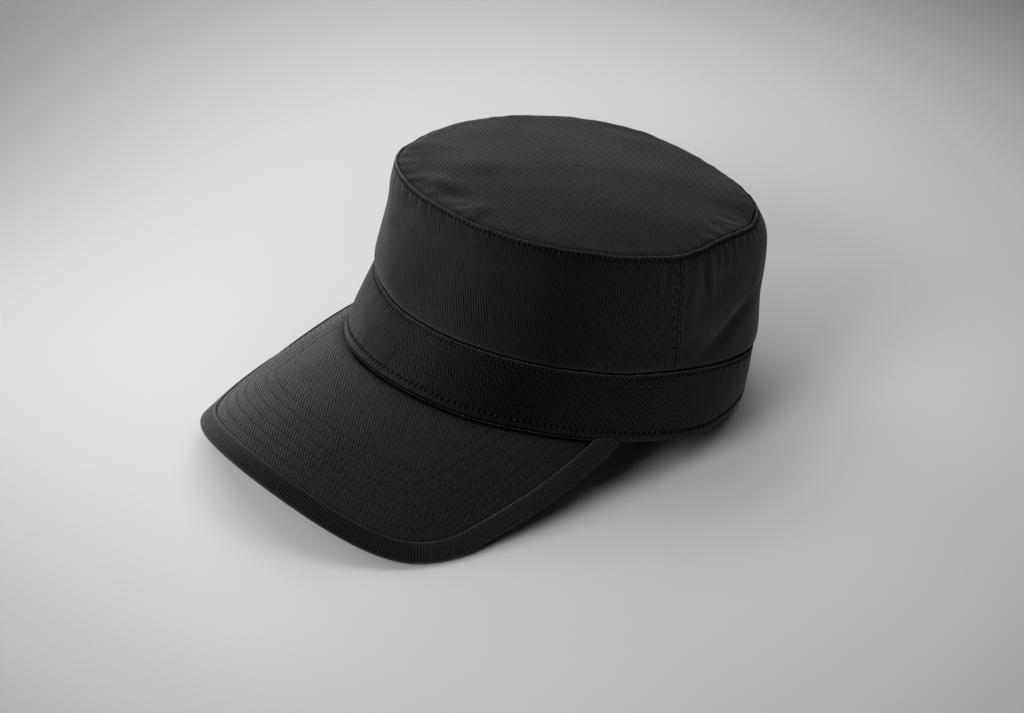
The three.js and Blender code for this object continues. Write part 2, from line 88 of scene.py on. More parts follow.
TOP_FOLDS = [
    (-13, 0.86, 6, 0.06, 1.1), (-1, 0.87, 5, 0.055, -1.3), (5.5, 0.92, 2.2, 0.04, -0.5), (-26, 0.85, 6, 0.06, -0.4), (11, 0.88, 3.5, 0.06, 0.5), (-27, 0.6, 14, 0.16, 0.7), (-12, 0.95, 2.5, 0.03, -0.3),
    (108, 0.91, 1.9, 0.045, -0.4), (113.5, 0.92, 1.7, 0.05, 0.22), (118, 0.92, 1.9, 0.045, -0.42), (129, 0.95, 1.8, 0.04, -0.35),
    (96, 0.92, 6, 0.05, -0.4), (60, 0.92, 18, 0.05, -0.25), (210, 0.88, 14, 0.08, -0.5), (-70, 0.9, 10, 0.08, -0.4), (165, 0.93, 4, 0.05, -0.3),
]
PEAK = dict(slope=0.58, arch=117.71, archPerLength=-0.41, rise=5.22, half=86.56, length=67.01, square=1.95, widestY=-101.45, flare=6.57)


def spow(v, p):
    return np.sign(v) * np.abs(v) ** p


def clamp01(v):
    return np.clip(v, 0, 1)


def slack(column, deg):
    at, val = SLACK[:, 0], SLACK[:, column]
    ax = np.concatenate([at - 360, at, at + 360])
    vx = np.tile(val, 3)
    q = (np.asarray(deg, float) - at[0]) % 360 + at[0]
    i = np.clip(np.searchsorted(ax, q, side="right") - 1, 1, len(ax) - 3)
    h = ax[i + 1] - ax[i]
    t = (q - ax[i]) / h
    m0 = (vx[i + 1] - vx[i - 1]) / (ax[i + 1] - ax[i - 1])
    m1 = (vx[i + 2] - vx[i]) / (ax[i + 2] - ax[i])
    t2, t3 = t * t, t * t * t
    return (2 * t3 - 3 * t2 + 1) * vx[i] + (t3 - 2 * t2 + t) * h * m0 + (3 * t2 - 2 * t3) * vx[i + 1] + (t3 - t2) * h * m1


def plain_oval(k, deg):
    half, front, rear, square, height, front_lift, end_lift = OVALS[k]
    c, s = np.cos(deg * RAD), np.sin(deg * RAD)
    return np.stack([
        half * spow(s, 2 / square),
        -np.where(c > 0, front, rear) * spow(c, 2 / square),
        height + front_lift * c + end_lift * np.cos(2 * deg * RAD),
    ], -1)


def outward(k, deg):
    a, b = plain_oval(k, deg - 0.05), plain_oval(k, deg + 0.05)
    n = np.stack([b[..., 1] - a[..., 1], a[..., 0] - b[..., 0], np.zeros_like(a[..., 0])], -1)
    return n / np.linalg.norm(n, axis=-1, keepdims=True)


def ripple(k, deg):
    """Fine unevenness of the sewn edges."""
    a = deg * RAD
    size = (0.0, 0.14, 0.24)[k]
    return size * (np.sin(17 * a + 0.6) * np.sin(3 * a + 1.0) + 0.6 * np.sin(29 * a + 2.0) * np.sin(5 * a) + 0.35 * np.sin(47 * a + 4.0))


def puffed(deg):
    """Where the top panel puffs up over its seam: from the left corner round the back to the right."""
    q = np.asarray(deg, float) % 360
    return clamp01((q - 128) / 16) * clamp01((322 - q) / 14)


def oval(k, deg, inset=0.0, up=0.0):
    deg = np.asarray(deg, float)
    p = plain_oval(k, deg) + outward(k, deg) * (slack(2 * k + 1, deg) - inset)[..., None]
    p[..., 2] += slack(2 * k + 2, deg) + up
    return p


def hump(s, m):
    a, b = (1, (1 - m) / m) if m <= 0.5 else (m / (1 - m), 1)
    return clamp01(s) ** a * clamp01(1 - s) ** b / (m ** a * (1 - m) ** b)


def turn(deg, at):
    return (deg - at + 180) % 360 - 180


def wall_folds(deg, up):
    total = np.zeros(np.broadcast(deg, up).shape)
    for at, level, wide, tall, out, lean_over in WALL_FOLDS:
        d = turn(deg, at + lean_over * (up - level))
        total = total + out * np.exp(-((d / wide) ** 2) - ((up - level) / tall) ** 2)
    return total


def wall(deg, up, inset=0.0):
    """Outer face of the crown wall: up is 0 at the band's top edge and 1 at the top seam."""
    deg, up = np.broadcast_arrays(np.asarray(deg, float), np.asarray(up, float))
    low, high, n = oval(1, deg), oval(2, deg), outward(1, deg)
    c = np.cos(deg * RAD)
    end = c * c
    by = lambda v: v[1] * (1 - end) + np.where(c > 0, v[0], v[2]) * end
    belly = by(BELLY["low"]) * hump(up, BELLY["lowAt"]) + by(BELLY["high"]) * hump(up, BELLY["highAt"])
    # the cloth rolls over towards the top seam
    belly = belly + 0.75 * np.exp(-(((up - 0.82) / 0.12) ** 2)) * clamp01((1 - up) / 0.06)
    out = belly + wall_folds(deg, up) * np.sin(np.pi * clamp01(up)) ** 0.7 - inset
    p = low + (high - low) * np.maximum(up, 0)[..., None] + n * out[..., None]
    p[..., 2] += (ripple(2, deg) - 0.8 * puffed(deg)) * clamp01(up) ** 9 + ripple(1, deg) * clamp01(1 - up) ** 9
    return p


def wall_height(deg):
    return np.linalg.norm(oval(2, deg) - oval(1, deg), axis=-1)


def band_wall(deg, up, inset=0.0):
    deg, up = np.broadcast_arrays(np.asarray(deg, float), np.asarray(up, float))
    low, high = oval(0, deg), oval(1, deg)
    p = low + (high - low) * up[..., None]
    p[..., 2] += ripple(1, deg) * clamp01(up) ** 9
    return p + outward(0, deg) * (0.7 * np.sin(np.pi * up) - inset)[..., None]


def band_height(deg):
    return np.linalg.norm(oval(1, deg) - oval(0, deg), axis=-1)


def peak_height(x, y):
    past = -(y + OVALS[0][1])
    r = PEAK["arch"] + PEAK["archPerLength"] * past
    ax = np.minimum(np.abs(x), r * 0.97)
    return PEAK["rise"] - PEAK["slope"] * past - (r - np.sqrt(r * r - ax * ax))


END_DIP = SEAM_GAP + PEAK_THICK / 2


def peak_edge(run):
    run = np.asarray(run, float)
    a = np.abs(run)
    t = clamp01(a / 0.8) * np.pi * 0.5
    end = oval(0, np.array(PEAK_HALF_DEG))
    x = PEAK["half"] * np.sin(t) ** (2 / PEAK["square"])
    y = PEAK["widestY"] - (OVALS[0][1] + PEAK["length"] + PEAK["widestY"]) * np.maximum(np.cos(t), 0) ** (2 / PEAK["square"])
    k = clamp01((a - 0.8) / 0.2)
    side = a > 0.8
    x = np.where(side, PEAK["half"] + (end[0] - PEAK["half"]) * k + PEAK["flare"] * 0.5 * np.sin(np.pi * k), x)
    y = np.where(side, PEAK["widestY"] + (end[1] - PEAK["widestY"]) * k, y)
    z = peak_height(x, y) + (end[2] - peak_height(end[0], end[1])) * clamp01((a - 0.6) / 0.4) ** 2 - END_DIP * clamp01((a - 0.85) / 0.15) ** 2
    return np.stack([np.where(run < 0, -1, 1) * x, y, z], -1)


def seam_direction(run):
    return PEAK_HALF_DEG * (0.7 * run + 0.3 * run ** 3)


def peak_seam(run, inset=0.0):
    return oval(0, seam_direction(np.asarray(run, float)), inset, -SEAM_GAP - PEAK_THICK / 2)


def peak_middle(run, share):
    run, share = np.broadcast_arrays(np.asarray(run, float), np.asarray(share, float))
    o, s = peak_edge(run), peak_seam(run)
    p = o + (s - o) * share[..., None]
    bend = 2 - clamp01((np.abs(run) - 0.6) / 0.4)
    p[..., 2] = (
        peak_height(p[..., 0], p[..., 1])
        + (o[..., 2] - peak_height(o[..., 0], o[..., 1])) * (1 - share)
        + (s[..., 2] - peak_height(s[..., 0], s[..., 1])) * np.sign(share) * np.abs(share) ** bend
    )
    return p


def peak_width(run):
    return np.linalg.norm(peak_edge(run) - peak_seam(run), axis=-1)


def peak_up(run, share):
    e = 0.01
    u = peak_middle(run + e, share) - peak_middle(run - e, share)
    v = peak_middle(run, share + 0.02) - peak_middle(run, np.maximum(share - 0.02, 0))
    n = np.cross(u, v)
    return n / np.linalg.norm(n, axis=-1, keepdims=True)


LC, LS = math.cos(LEAN_DEG * RAD), math.sin(LEAN_DEG * RAD)


def lean(p):
    return np.stack([p[..., 0], p[..., 1] * LC + p[..., 2] * LS, -p[..., 1] * LS + p[..., 2] * LC], -1)


FLOOR = lean(band_wall(150.0 + 5 * np.arange(13), 0.0))[..., 2].min() + REST_SINK


def set_down(p):
    """Upright millimetres to metres in the part's frame, pressed flat where the cap rests."""
    q = lean(p)
    z = q[..., 2] - FLOOR
    z = np.where(z < 0.0, 0.0, z)
    return np.stack([q[..., 0] + PLACE[0], q[..., 1] + PLACE[1], z + PLACE[2]], -1) / 1000


# ---- small even noise, the same on every run ----
WAVES = np.array([
    (0.031, 0.017, 0.9, 0.3), (-0.022, 0.036, 2.1, 0.3), (0.045, -0.028, 4.0, 0.22), (0.061, 0.049, 1.3, 0.16), (-0.083, 0.041, 5.2, 0.11), (0.037, 0.102, 3.3, 0.1),
])


def drift(u, v, size=1.0, shift=0.0):
    """Smooth wandering between about -1 and 1 over cloth coordinates in mm."""
    total = 0
    for a, b, phase, weight in WAVES:
        total = total + weight * np.sin(2 * np.pi * (a * u + b * v) / size + phase + shift * (1 + 3 * a))
    return total


def bump(d, width):
    return np.exp(-((d / width) ** 2))


# ---- grids of points ----
def grid_normals(p, closed):
    """Unit normals of rows[j][i], out of the side that the rows wind round."""
    if closed:
        du = np.roll(p, -1, 1) - np.roll(p, 1, 1)
    else:
        du = np.gradient(p, axis=1)
    dv = np.gradient(p, axis=0)
    n = np.cross(du, dv)
    l = np.linalg.norm(n, axis=-1, keepdims=True)
    return n / np.maximum(l, 1e-9)


def tree_of(points):
    kd = KDTree(len(points))
    for i, p in enumerate(points):
        kd.insert(p, i)
    kd.balance()
    return kd


def distances(points, kd, reach):
    """Distance of each point to the nearest in the tree, or reach where it is farther."""
    flat = points.reshape(-1, 3)
    out = np.full(len(flat), reach)
    find = kd.find
    for i in range(len(flat)):
        d = find(flat[i])[2]
        if d < reach:
            out[i] = d
    return out.reshape(points.shape[:-1])


class Row:
    """A row of stitches along a line of points, with needle holes at an even pitch."""

    def __init__(self, points, normals, pitch, closed=False, start=0.5):
        points, normals = np.asarray(points, float), np.asarray(normals, float)
        if closed:
            points, normals = np.vstack([points, points[:1]]), np.vstack([normals, normals[:1]])
        s = np.concatenate([[0], np.cumsum(np.linalg.norm(np.diff(points, axis=0), axis=1))])
        count = max(2, int(round((s[-1] - 2 * start * pitch * (not closed)) / pitch)))
        at = np.linspace(0, s[-1], count + 1)[: count if closed else None] if closed else np.linspace(start * pitch, s[-1] - start * pitch, count + 1)
        wobble = 0.12 * pitch * np.sin(np.arange(len(at)) * 12.9898) * np.cos(np.arange(len(at)) * 4.1414)
        at = np.clip(at + wobble, 0, s[-1])
        pick = lambda q, x: np.stack([np.interp(x, s, q[:, k]) for k in range(3)], -1)
        self.holes = pick(points, at)
        self.hole_normals = pick(normals, at)
        fine = np.linspace(0, s[-1], max(2, int(s[-1] / 0.25)))
        self.line = pick(points, fine)
        self.closed = closed


def apply_rows(p, n, mask, rows, channel, channel_width, pit, pit_width):
    """Sinks the stitch channels and needle holes of the rows into the masked points. Returns the points, and
    how deep in a needle hole each is, as a mask of painted shade in the holes."""
    holes = tree_of(np.vstack([r.holes for r in rows]))
    lines = tree_of(np.vstack([r.line for r in rows]))
    depth = np.zeros(p.shape[:-1])
    hole_shade = np.zeros(p.shape[:-1])
    q = p[mask]
    dl = distances(q, lines, 4 * channel_width)
    dh = distances(q, holes, 4 * pit_width)
    depth[mask] = -channel * bump(dl, channel_width) - pit * bump(dh, pit_width)
    # painted shade in and round the needle holes
    hole_shade[mask] = clamp01(1.25 * bump(dh, pit_width * 1.1))
    return p + n * depth[..., None], hole_shade


def threads(rows, sides, radius, proud, sag=0.25):
    """Capsule-like stitches between neighbouring needle holes, as vertices and quads."""
    verts, faces = [], []
    prof = [(0.0, 0.15), (0.1, 0.7), (0.28, 1.0), (0.5, 1.05), (0.72, 1.0), (0.9, 0.7), (1.0, 0.15)]
    for r in rows:
        a = r.holes if not r.closed else np.vstack([r.holes, r.holes[:1]])
        m = r.hole_normals if not r.closed else np.vstack([r.hole_normals, r.hole_normals[:1]])
        for i in range(len(a) - 1):
            along = a[i + 1] - a[i]
            length = np.linalg.norm(along)
            if length < 0.5:
                continue
            along = along / length
            up = m[i] + m[i + 1]
            up = up - along * (up @ along)
            up = up / np.linalg.norm(up)
            side = np.cross(along, up)
            base = len(verts)
            for t, w in prof:
                lift = proud - sag * (2 * t - 1) ** 2 * 1.6
                c = a[i] + along * length * (0.1 + 0.8 * t) + up * lift
                for k in range(sides):
                    g = 2 * math.pi * k / sides
                    verts.append(c + (side * math.cos(g) + up * math.sin(g) * 0.85) * radius * w)
            for j in range(len(prof) - 1):
                for k in range(sides):
                    k2 = (k + 1) % sides
                    faces.append((base + j * sides + k, base + (j + 1) * sides + k, base + (j + 1) * sides + k2, base + j * sides + k2))
            faces.append(tuple(base + k for k in range(sides)))
            faces.append(tuple(base + (len(prof) - 1) * sides + k for k in reversed(range(sides))))
    return np.array(verts), faces


# ---- meshes ----
def make_object(name, points, faces, loop_uv=None, attrs=None, smooth=True):
    """points in upright mm; faces a list of index tuples or arrays of quads."""
    mesh = bpy.data.meshes.new(name)
    co = set_down(np.asarray(points, float))
    quads = [np.asarray(f, int) for f in faces if isinstance(f, np.ndarray)]
    others = [tuple(f) for f in faces if not isinstance(f, np.ndarray)]
    q = np.vstack(quads) if quads else np.zeros((0, 4), int)
    totals = np.concatenate([np.full(len(q), 4), [len(f) for f in others]]).astype(np.int32)
    loops = np.concatenate([q.ravel(), np.concatenate([np.array(f) for f in others]) if others else np.zeros(0, int)]).astype(np.int32)
    starts = np.concatenate([[0], np.cumsum(totals)[:-1]]).astype(np.int32)
    mesh.vertices.add(len(co))
    mesh.vertices.foreach_set("co", co.astype(np.float32).ravel())
    mesh.loops.add(len(loops))
    mesh.loops.foreach_set("vertex_index", loops)
    mesh.polygons.add(len(totals))
    mesh.polygons.foreach_set("loop_start", starts)
    mesh.polygons.foreach_set("use_smooth", np.full(len(totals), smooth))
    mesh.update(calc_edges=True)
    if loop_uv is not None:
        uv = mesh.uv_layers.new(name="cloth")
        full = np.zeros((len(loops), 2), np.float32)
        full[: len(loop_uv)] = loop_uv
        uv.data.foreach_set("uv", full.ravel())
    for key, values in (attrs or {}).items():
        a = mesh.attributes.new(key, "FLOAT", "POINT")
        a.data.foreach_set("value", np.asarray(values, np.float32).ravel())
    mesh.validate()
    mesh.update()
    obj = bpy.data.objects.new(name, mesh)
    scene.collection.objects.link(obj)
    return obj


def section_body(name, p, u, v, attrs, closed):
    """A body whose rows follow one another round its section: p[j, i]. u is [j, columns (+1 if closed)] and v
    is [j + 1, i], both cloth coordinates in mm."""
    nj, ni = p.shape[:2]
    last = ni if closed else ni - 1
    j, i = np.meshgrid(np.arange(nj), np.arange(last), indexing="ij")
    j2, i2 = (j + 1) % nj, (i + 1) % ni
    quads = np.stack([j * ni + i, j * ni + i2, j2 * ni + i2, j2 * ni + i], -1).reshape(-1, 4)
    uu = lambda jj, ii: u[jj, ii]
    uv = np.stack([
        np.stack([uu(j, i), v[j, i]], -1),
        np.stack([uu(j, i + 1), v[j, i2]], -1),
        np.stack([uu(j2, i + 1), v[j + 1, i2]], -1),
        np.stack([uu(j2, i), v[j + 1, i]], -1),
    ], 2).reshape(-1, 2)
    faces = [quads]
    if not closed:
        faces.append(tuple(int(k) * ni for k in reversed(range(nj))))
        faces.append(tuple(int(k) * ni + ni - 1 for k in range(nj)))
    return make_object(name, p.reshape(-1, 3), faces, uv, {k: a.ravel() for k, a in attrs.items()})


def arc_u(line, closed):
    """Arc length along a line of points, one longer if it closes."""
    q = np.vstack([line, line[:1]]) if closed else line
    return np.concatenate([[0], np.cumsum(np.linalg.norm(np.diff(q, axis=0), axis=1))])


# ---- the crown wall ----
def smooth_step(x, a, b):
    t = clamp01((x - a) / (b - a))
    return t * t * (3 - 2 * t)


LOW_ROWS = [(-6.0, 2.6), (-3.0, 2.55), (-1.2, 2.3), (-0.5, 2.0), (0.0, 1.65), (0.4, 1.35), (0.8, 1.05), (1.2, 0.78), (1.7, 0.52), (2.3, 0.32), (3.1, 0.16), (4.2, 0.05), (6.0, 0.0)]
TOP_ROWS = [8.0, 6.8, 5.7, 4.8, 4.1, 3.5, 3.0, 2.65, 2.35, 2.1, 1.9, 1.7, 1.5, 1.3, 1.1, 0.9, 0.72]
ROLL = 0.5
TOP_PITCH, BAND_PITCH, LOW_PITCH, PEAK_PITCH, SIDE_PITCH = 2.35, 2.4, 2.9, 3.0, 2.3
TOP_ROW_AT, BAND_ROW_AT, LOW_ROW_AT = 1.75, 1.45, 4.5


def wall_point(deg, above, inset):
    """A point of the wall by its height in mm over the band's top edge, also behind the band."""
    h = wall_height(deg)
    if above < 0:
        t = -above / 27.07
        a, b = oval(1, deg, inset), oval(0, deg, inset)
        return a + (b - a) * t
    return wall(deg, above / h, inset)


def crown_wall(name, start, stop):
    step = 0.25
    count = int(round((stop - start) / step)) + 1
    deg = np.linspace(start, stop, count)
    h = wall_height(deg)
    rows, up_mm, zone = [], [], []
    for above, inset in LOW_ROWS:
        rows.append(wall_point(deg, above, inset))
        up_mm.append(np.full(count, above))
    mids = np.linspace(0, 1, 58)[1:-1]
    for m in mids:
        a = 6.0 + (h - 8.0 - 6.0) * m
        rows.append(wall(deg, a / h))
        up_mm.append(a)
    for t in TOP_ROWS:
        rows.append(wall(deg, (h - t) / h))
        up_mm.append(h - t)
    outer = np.stack(rows)
    up_mm = np.stack(up_mm)
    n = grid_normals(outer, False)
    u_line = arc_u(wall(deg, 0.5), False)
    u = np.broadcast_to(u_line, outer.shape[:2])
    side = np.minimum(u_line, u_line[-1] - u_line)[None, :]
    from_top = h[None, :] - up_mm
    # soft unevenness of the cloth, the gathers under the top seam, and the lap of the side seams
    env = smooth_step(up_mm, 1.0, 9.0) * smooth_step(from_top, 0.5, 6.0)
    out = 0.28 * drift(u, up_mm, 1.6) * env
    gather = np.sin(2 * np.pi * (u / 7.3 + 0.55 * drift(u, 0 * u, 3.0, 2.0))) + 0.6 * np.sin(2 * np.pi * (u / 4.1 + 0.4 * drift(u, 0 * u, 2.0, 5.0)))
    strength = 0.07 + 0.05 * drift(u, 0 * u, 4.0, 9.0) + gather_strength(deg)[None, :]
    out = out + gather * strength * np.exp(-((from_top - 2.6) / 4.2) ** 2) * smooth_step(from_top, 1.2, 3.0)
    out = out + 0.22 * smooth_step(from_top, 0.2, 1.2) * (1 - smooth_step(from_top, 1.5, 3.4))
    out = out + (0.22 * (1 - smooth_step(side, 2.4, 4.2)) - 0.45 * bump(side, 0.5)) * smooth_step(up_mm, 0.2, 2.0)
    pucker = np.sin(2 * np.pi * (up_mm / 5.7 + 0.5 * drift(up_mm, u * 0.2, 2.0, 3.0)))
    out = out + 0.12 * pucker * np.exp(-((side - 3.4) / 3.2) ** 2) * env
    outer = outer + n * out[..., None]
    # stitches: one row under the top seam, and one each side of the side seams
    n = grid_normals(outer, False)
    tops = np.stack([wall_row(outer, up_mm, h, "top", TOP_ROW_AT), wall_row(n, up_mm, h, "top", TOP_ROW_AT)])
    stitch_rows = [Row(tops[0], tops[1], TOP_PITCH)]
    for first in (True, False):
        k = int(np.argmin(np.abs((u_line if first else u_line[-1] - u_line) - 1.9)))
        j0 = int(np.argmin(np.abs(up_mm[:, k] - 2.4)))
        j1 = int(np.argmin(np.abs(from_top[:, k] - 3.4)))
        stitch_rows.append(Row(outer[j0:j1, k], n[j0:j1, k], SIDE_PITCH))
    mask = from_top < 4.5
    outer, hole_shade = apply_rows(outer, n, mask, stitch_rows[:1], 0.1, 0.5, 0.9, 0.62)
    mask = (side < 4.5) & (up_mm > 0.5) & (from_top > 2.6)
    outer, side_hole_shade = apply_rows(outer, n, mask, stitch_rows[1:], 0.12, 0.45, 0.3, 0.36)
    hole_shade = np.maximum(hole_shade, 0.6 * side_hole_shade)
    # the turned edge at the top, then down the inside
    n_in = outward(1, deg)
    up_dir = oval(2, deg) - oval(1, deg)
    up_dir = up_dir / np.linalg.norm(up_dir, axis=-1, keepdims=True)
    edge = outer[-1] - up_dir * 0 + up_dir * (TOP_ROWS[-1] - ROLL)
    more, painted_light_and_shade = [], []
    for a in range(20, 181, 20):
        more.append(edge - n_in * ROLL * (1 - math.cos(a * RAD)) + up_dir * ROLL * math.sin(a * RAD))
    more.append(wall(deg, (h - 2.4) / h, 1.42))
    inner = [wall(deg, (h - 5.0) / h, CLOTH)]
    for m in np.linspace(1, 0, 12)[1:]:
        inner.append(wall(deg, (3.5 + (h - 5.0 - 3.5) * m) / h, CLOTH))
    inner += [wall_point(deg, 1.0, CLOTH + 0.35), wall_point(deg, -0.6, CLOTH + 2.0), wall_point(deg, -6.0, CLOTH + 2.4)]
    p = np.concatenate([outer, np.stack(more), np.stack(inner)])
    nj = len(p)
    dist = np.concatenate([np.zeros((1, count)), np.cumsum(np.linalg.norm(np.diff(p, axis=0), axis=-1), axis=0)])
    dist = dist + (up_mm[0] - dist[0])
    v = np.vstack([dist, dist[-1:] + 2])
    # painted light and painted shade on the wall: a lit line under the top seam and on the turned top edge, lighter at
    # the front and beside both side seams at mid height, lit lines on the side seam lap, painted shade near 47 degrees
    painted_light_and_shade = np.zeros(p.shape[:2])
    no = len(outer)
    painted_light_and_shade[:no] = np.exp(-(from_top / 0.8) ** 2) * (1 - 0.65 * smooth_step(turn(deg, 0), 94, 112))[None, :] + (0.45 * bump(turn(deg, 8), 18) - 0.3 * bump(turn(deg, 47), 13))[None, :] + 0.6 * (bump(turn(deg, 92), 20) + bump(turn(deg, -92), 20))[None, :] * smooth_step(up_mm, 6, 18) * smooth_step(from_top, 2, 8)
    painted_light_and_shade[:no] = painted_light_and_shade[:no] + 0.55 * bump(side - 1.0, 0.35) + 0.4 * bump(side - 3.1, 0.5)
    painted_light_and_shade[no : no + 6] = (1 - 0.65 * smooth_step(turn(deg, 0), 94, 112))[None, :]
    painted_light_and_shade[no + 6 : no + 9] = 0.3
    # painted shade along the foot of the wall where it meets the band, and in the side seams, less behind the right
    # side seam
    painted_shade = np.zeros(p.shape[:2])
    painted_shade[:no] = 1.1 * np.exp(-((np.maximum(up_mm - 0.4, 0)) / 1.1) ** 2) + bump(side, 0.35) * 0.55
    painted_shade[:no] = painted_shade[:no] * (1 - 0.35 * smooth_step(turn(deg, 0), 92, 108))[None, :]
    # painted shade in the needle holes
    pit = np.zeros(p.shape[:2])
    pit[:no] = hole_shade
    obj = section_body(name, p, np.broadcast_to(u_line, (nj, count)), v, {"painted_light_and_shade": painted_light_and_shade, "painted_shade": np.clip(painted_shade, 0, 1.1), "pit": pit}, False)
    return obj, stitch_rows


def gather_strength(deg):
    """Where the seam gathers more: just behind the right side seam, and at the front left."""
    return 0.1 * bump(turn(deg, 104), 13) + 0.1 * bump(turn(deg, -4), 16) + 0.1 * bump(turn(deg, -100), 14) + 0.08 * bump(turn(deg, 190), 30)


def wall_row(grid, up_mm, h, kind, mm):
    """Interpolates a grid of the wall along each column at a height."""
    want = h - mm if kind == "top" else np.full(len(h), mm)
    out = np.zeros((grid.shape[1], 3))
    for i in range(grid.shape[1]):
        for k in range(3):
            out[i, k] = np.interp(want[i], up_mm[:, i], grid[:, i, k])
    return out


# ---- the top panel ----
def top_panel():
    count = 840
    deg = np.arange(count) * 360 / count
    rim = oval(2, deg, 1.12)
    o = OVALS[2]
    cy = (o[2] - o[1]) / 2
    c = np.cos(deg * RAD)
    radius = np.hypot(rim[:, 0], rim[:, 1] - cy)
    edge_w = [0, 0.18, 0.36, 0.55, 0.8, 1.1, 1.5, 2.0, 2.7, 3.6, 4.8, 6.4, 8.5]
    fs = [1 - w / radius for w in edge_w]
    f0 = 1 - 8.5 / radius
    fs += [f0 * m for m in np.linspace(1, 0, 46)[1:-1]]

    def point(f, drop):
        far = np.minimum(f * radius / (radius - 0.85), 1.0)
        fold = np.zeros(count)
        for at, level, wide, tall, out in TOP_FOLDS:
            fold = fold + out * np.exp(-((turn(deg, at) / wide) ** 2) - ((far - level) / tall) ** 2)
        z = o[4] + o[5] * c * far + o[6] * np.cos(2 * deg * RAD) * far * far + slack(6, deg) * far ** 5 + ripple(2, deg) * far ** 16 + DOME * (1 - far * far) + fold * clamp01((1 - far) / 0.035)
        return np.stack([rim[:, 0] * f, cy + (rim[:, 1] - cy) * f, z - 0.15 - drop], -1)

    upper = []
    for f in fs:
        w = (1 - f) * radius
        puff = puffed(deg) * (0.8 * np.exp(-w / 0.8) - 1.5 * (1 - np.exp(-((w / 2.2) ** 2))) * np.exp(-((w / 22) ** 2)))
        upper.append(point(f, 0.45 * np.exp(-w / 0.3) - 0.55 * (1 - np.exp(-w / 1.5)) + puff))
    upper = np.stack(upper)
    f = np.stack(fs)
    w = (1 - f) * radius[None, :]
    n = -grid_normals(upper[::-1], True)[::-1]
    n = np.where(n[..., 2:] < 0, -n, n)
    x, y = upper[..., 0], upper[..., 1]
    out = 0.3 * drift(x, y, 2.2, 4.0) * smooth_step(w, 1, 12)
    u_line = arc_u(rim, True)[:-1]
    gather = np.sin(2 * np.pi * (u_line / 9.1 + 0.5 * drift(u_line, 0 * u_line, 3.0, 1.0)))
    strength = 0.05 + 0.12 * bump(turn(deg, 104), 12) + 0.1 * bump(turn(deg, -6), 14)
    out = out + (gather * strength)[None, :] * np.exp(-((w - 2.5) / 4.5) ** 2) * smooth_step(w, 0.3, 1.5)
    upper = upper + n * out[..., None]
    lower = [point(fs[0], 2.9), point(1 - 4.0 / radius, 2.6)]
    for m in (0.8, 0.5, 0.2):
        lower.append(point(np.full(count, m), CLOTH + 0.3))
    # rows: from the upper side's centre out to the rim, then back in underneath
    p = np.concatenate([upper[::-1], np.stack(lower)])
    nj = len(p)
    verts = np.vstack([p.reshape(-1, 3), [[0, cy, point(np.full(count, 1e-4), 0)[0, 2]]], [[0, cy, point(np.full(count, 1e-4), CLOTH)[0, 2]]]])
    j, i = np.meshgrid(np.arange(nj - 1), np.arange(count), indexing="ij")
    i2 = (i + 1) % count
    quads = np.stack([j * count + i, (j + 1) * count + i, (j + 1) * count + i2, j * count + i2], -1).reshape(-1, 4)
    uv = verts[quads.ravel()][:, :2]
    up_c, low_c = nj * count, nj * count + 1
    tris = [(up_c, k, (k + 1) % count) for k in range(count)]
    tris += [(low_c, (nj - 1) * count + (k + 1) % count, (nj - 1) * count + k) for k in range(count)]
    tri_uv = verts[np.array(tris).ravel()][:, :2]
    wfull = np.concatenate([w[::-1], np.zeros((len(lower), count))])
    # painted shade in the groove round the rim of the top panel
    painted_shade = np.append(0.8 * np.exp(-((wfull / 0.35) ** 2)).ravel(), [0, 0])
    z0 = np.zeros(len(verts))
    obj = make_object("crown_top_cloth", verts, [quads] + tris, np.vstack([uv, tri_uv]), {"painted_light_and_shade": z0, "painted_shade": painted_shade, "pit": z0})
    return obj


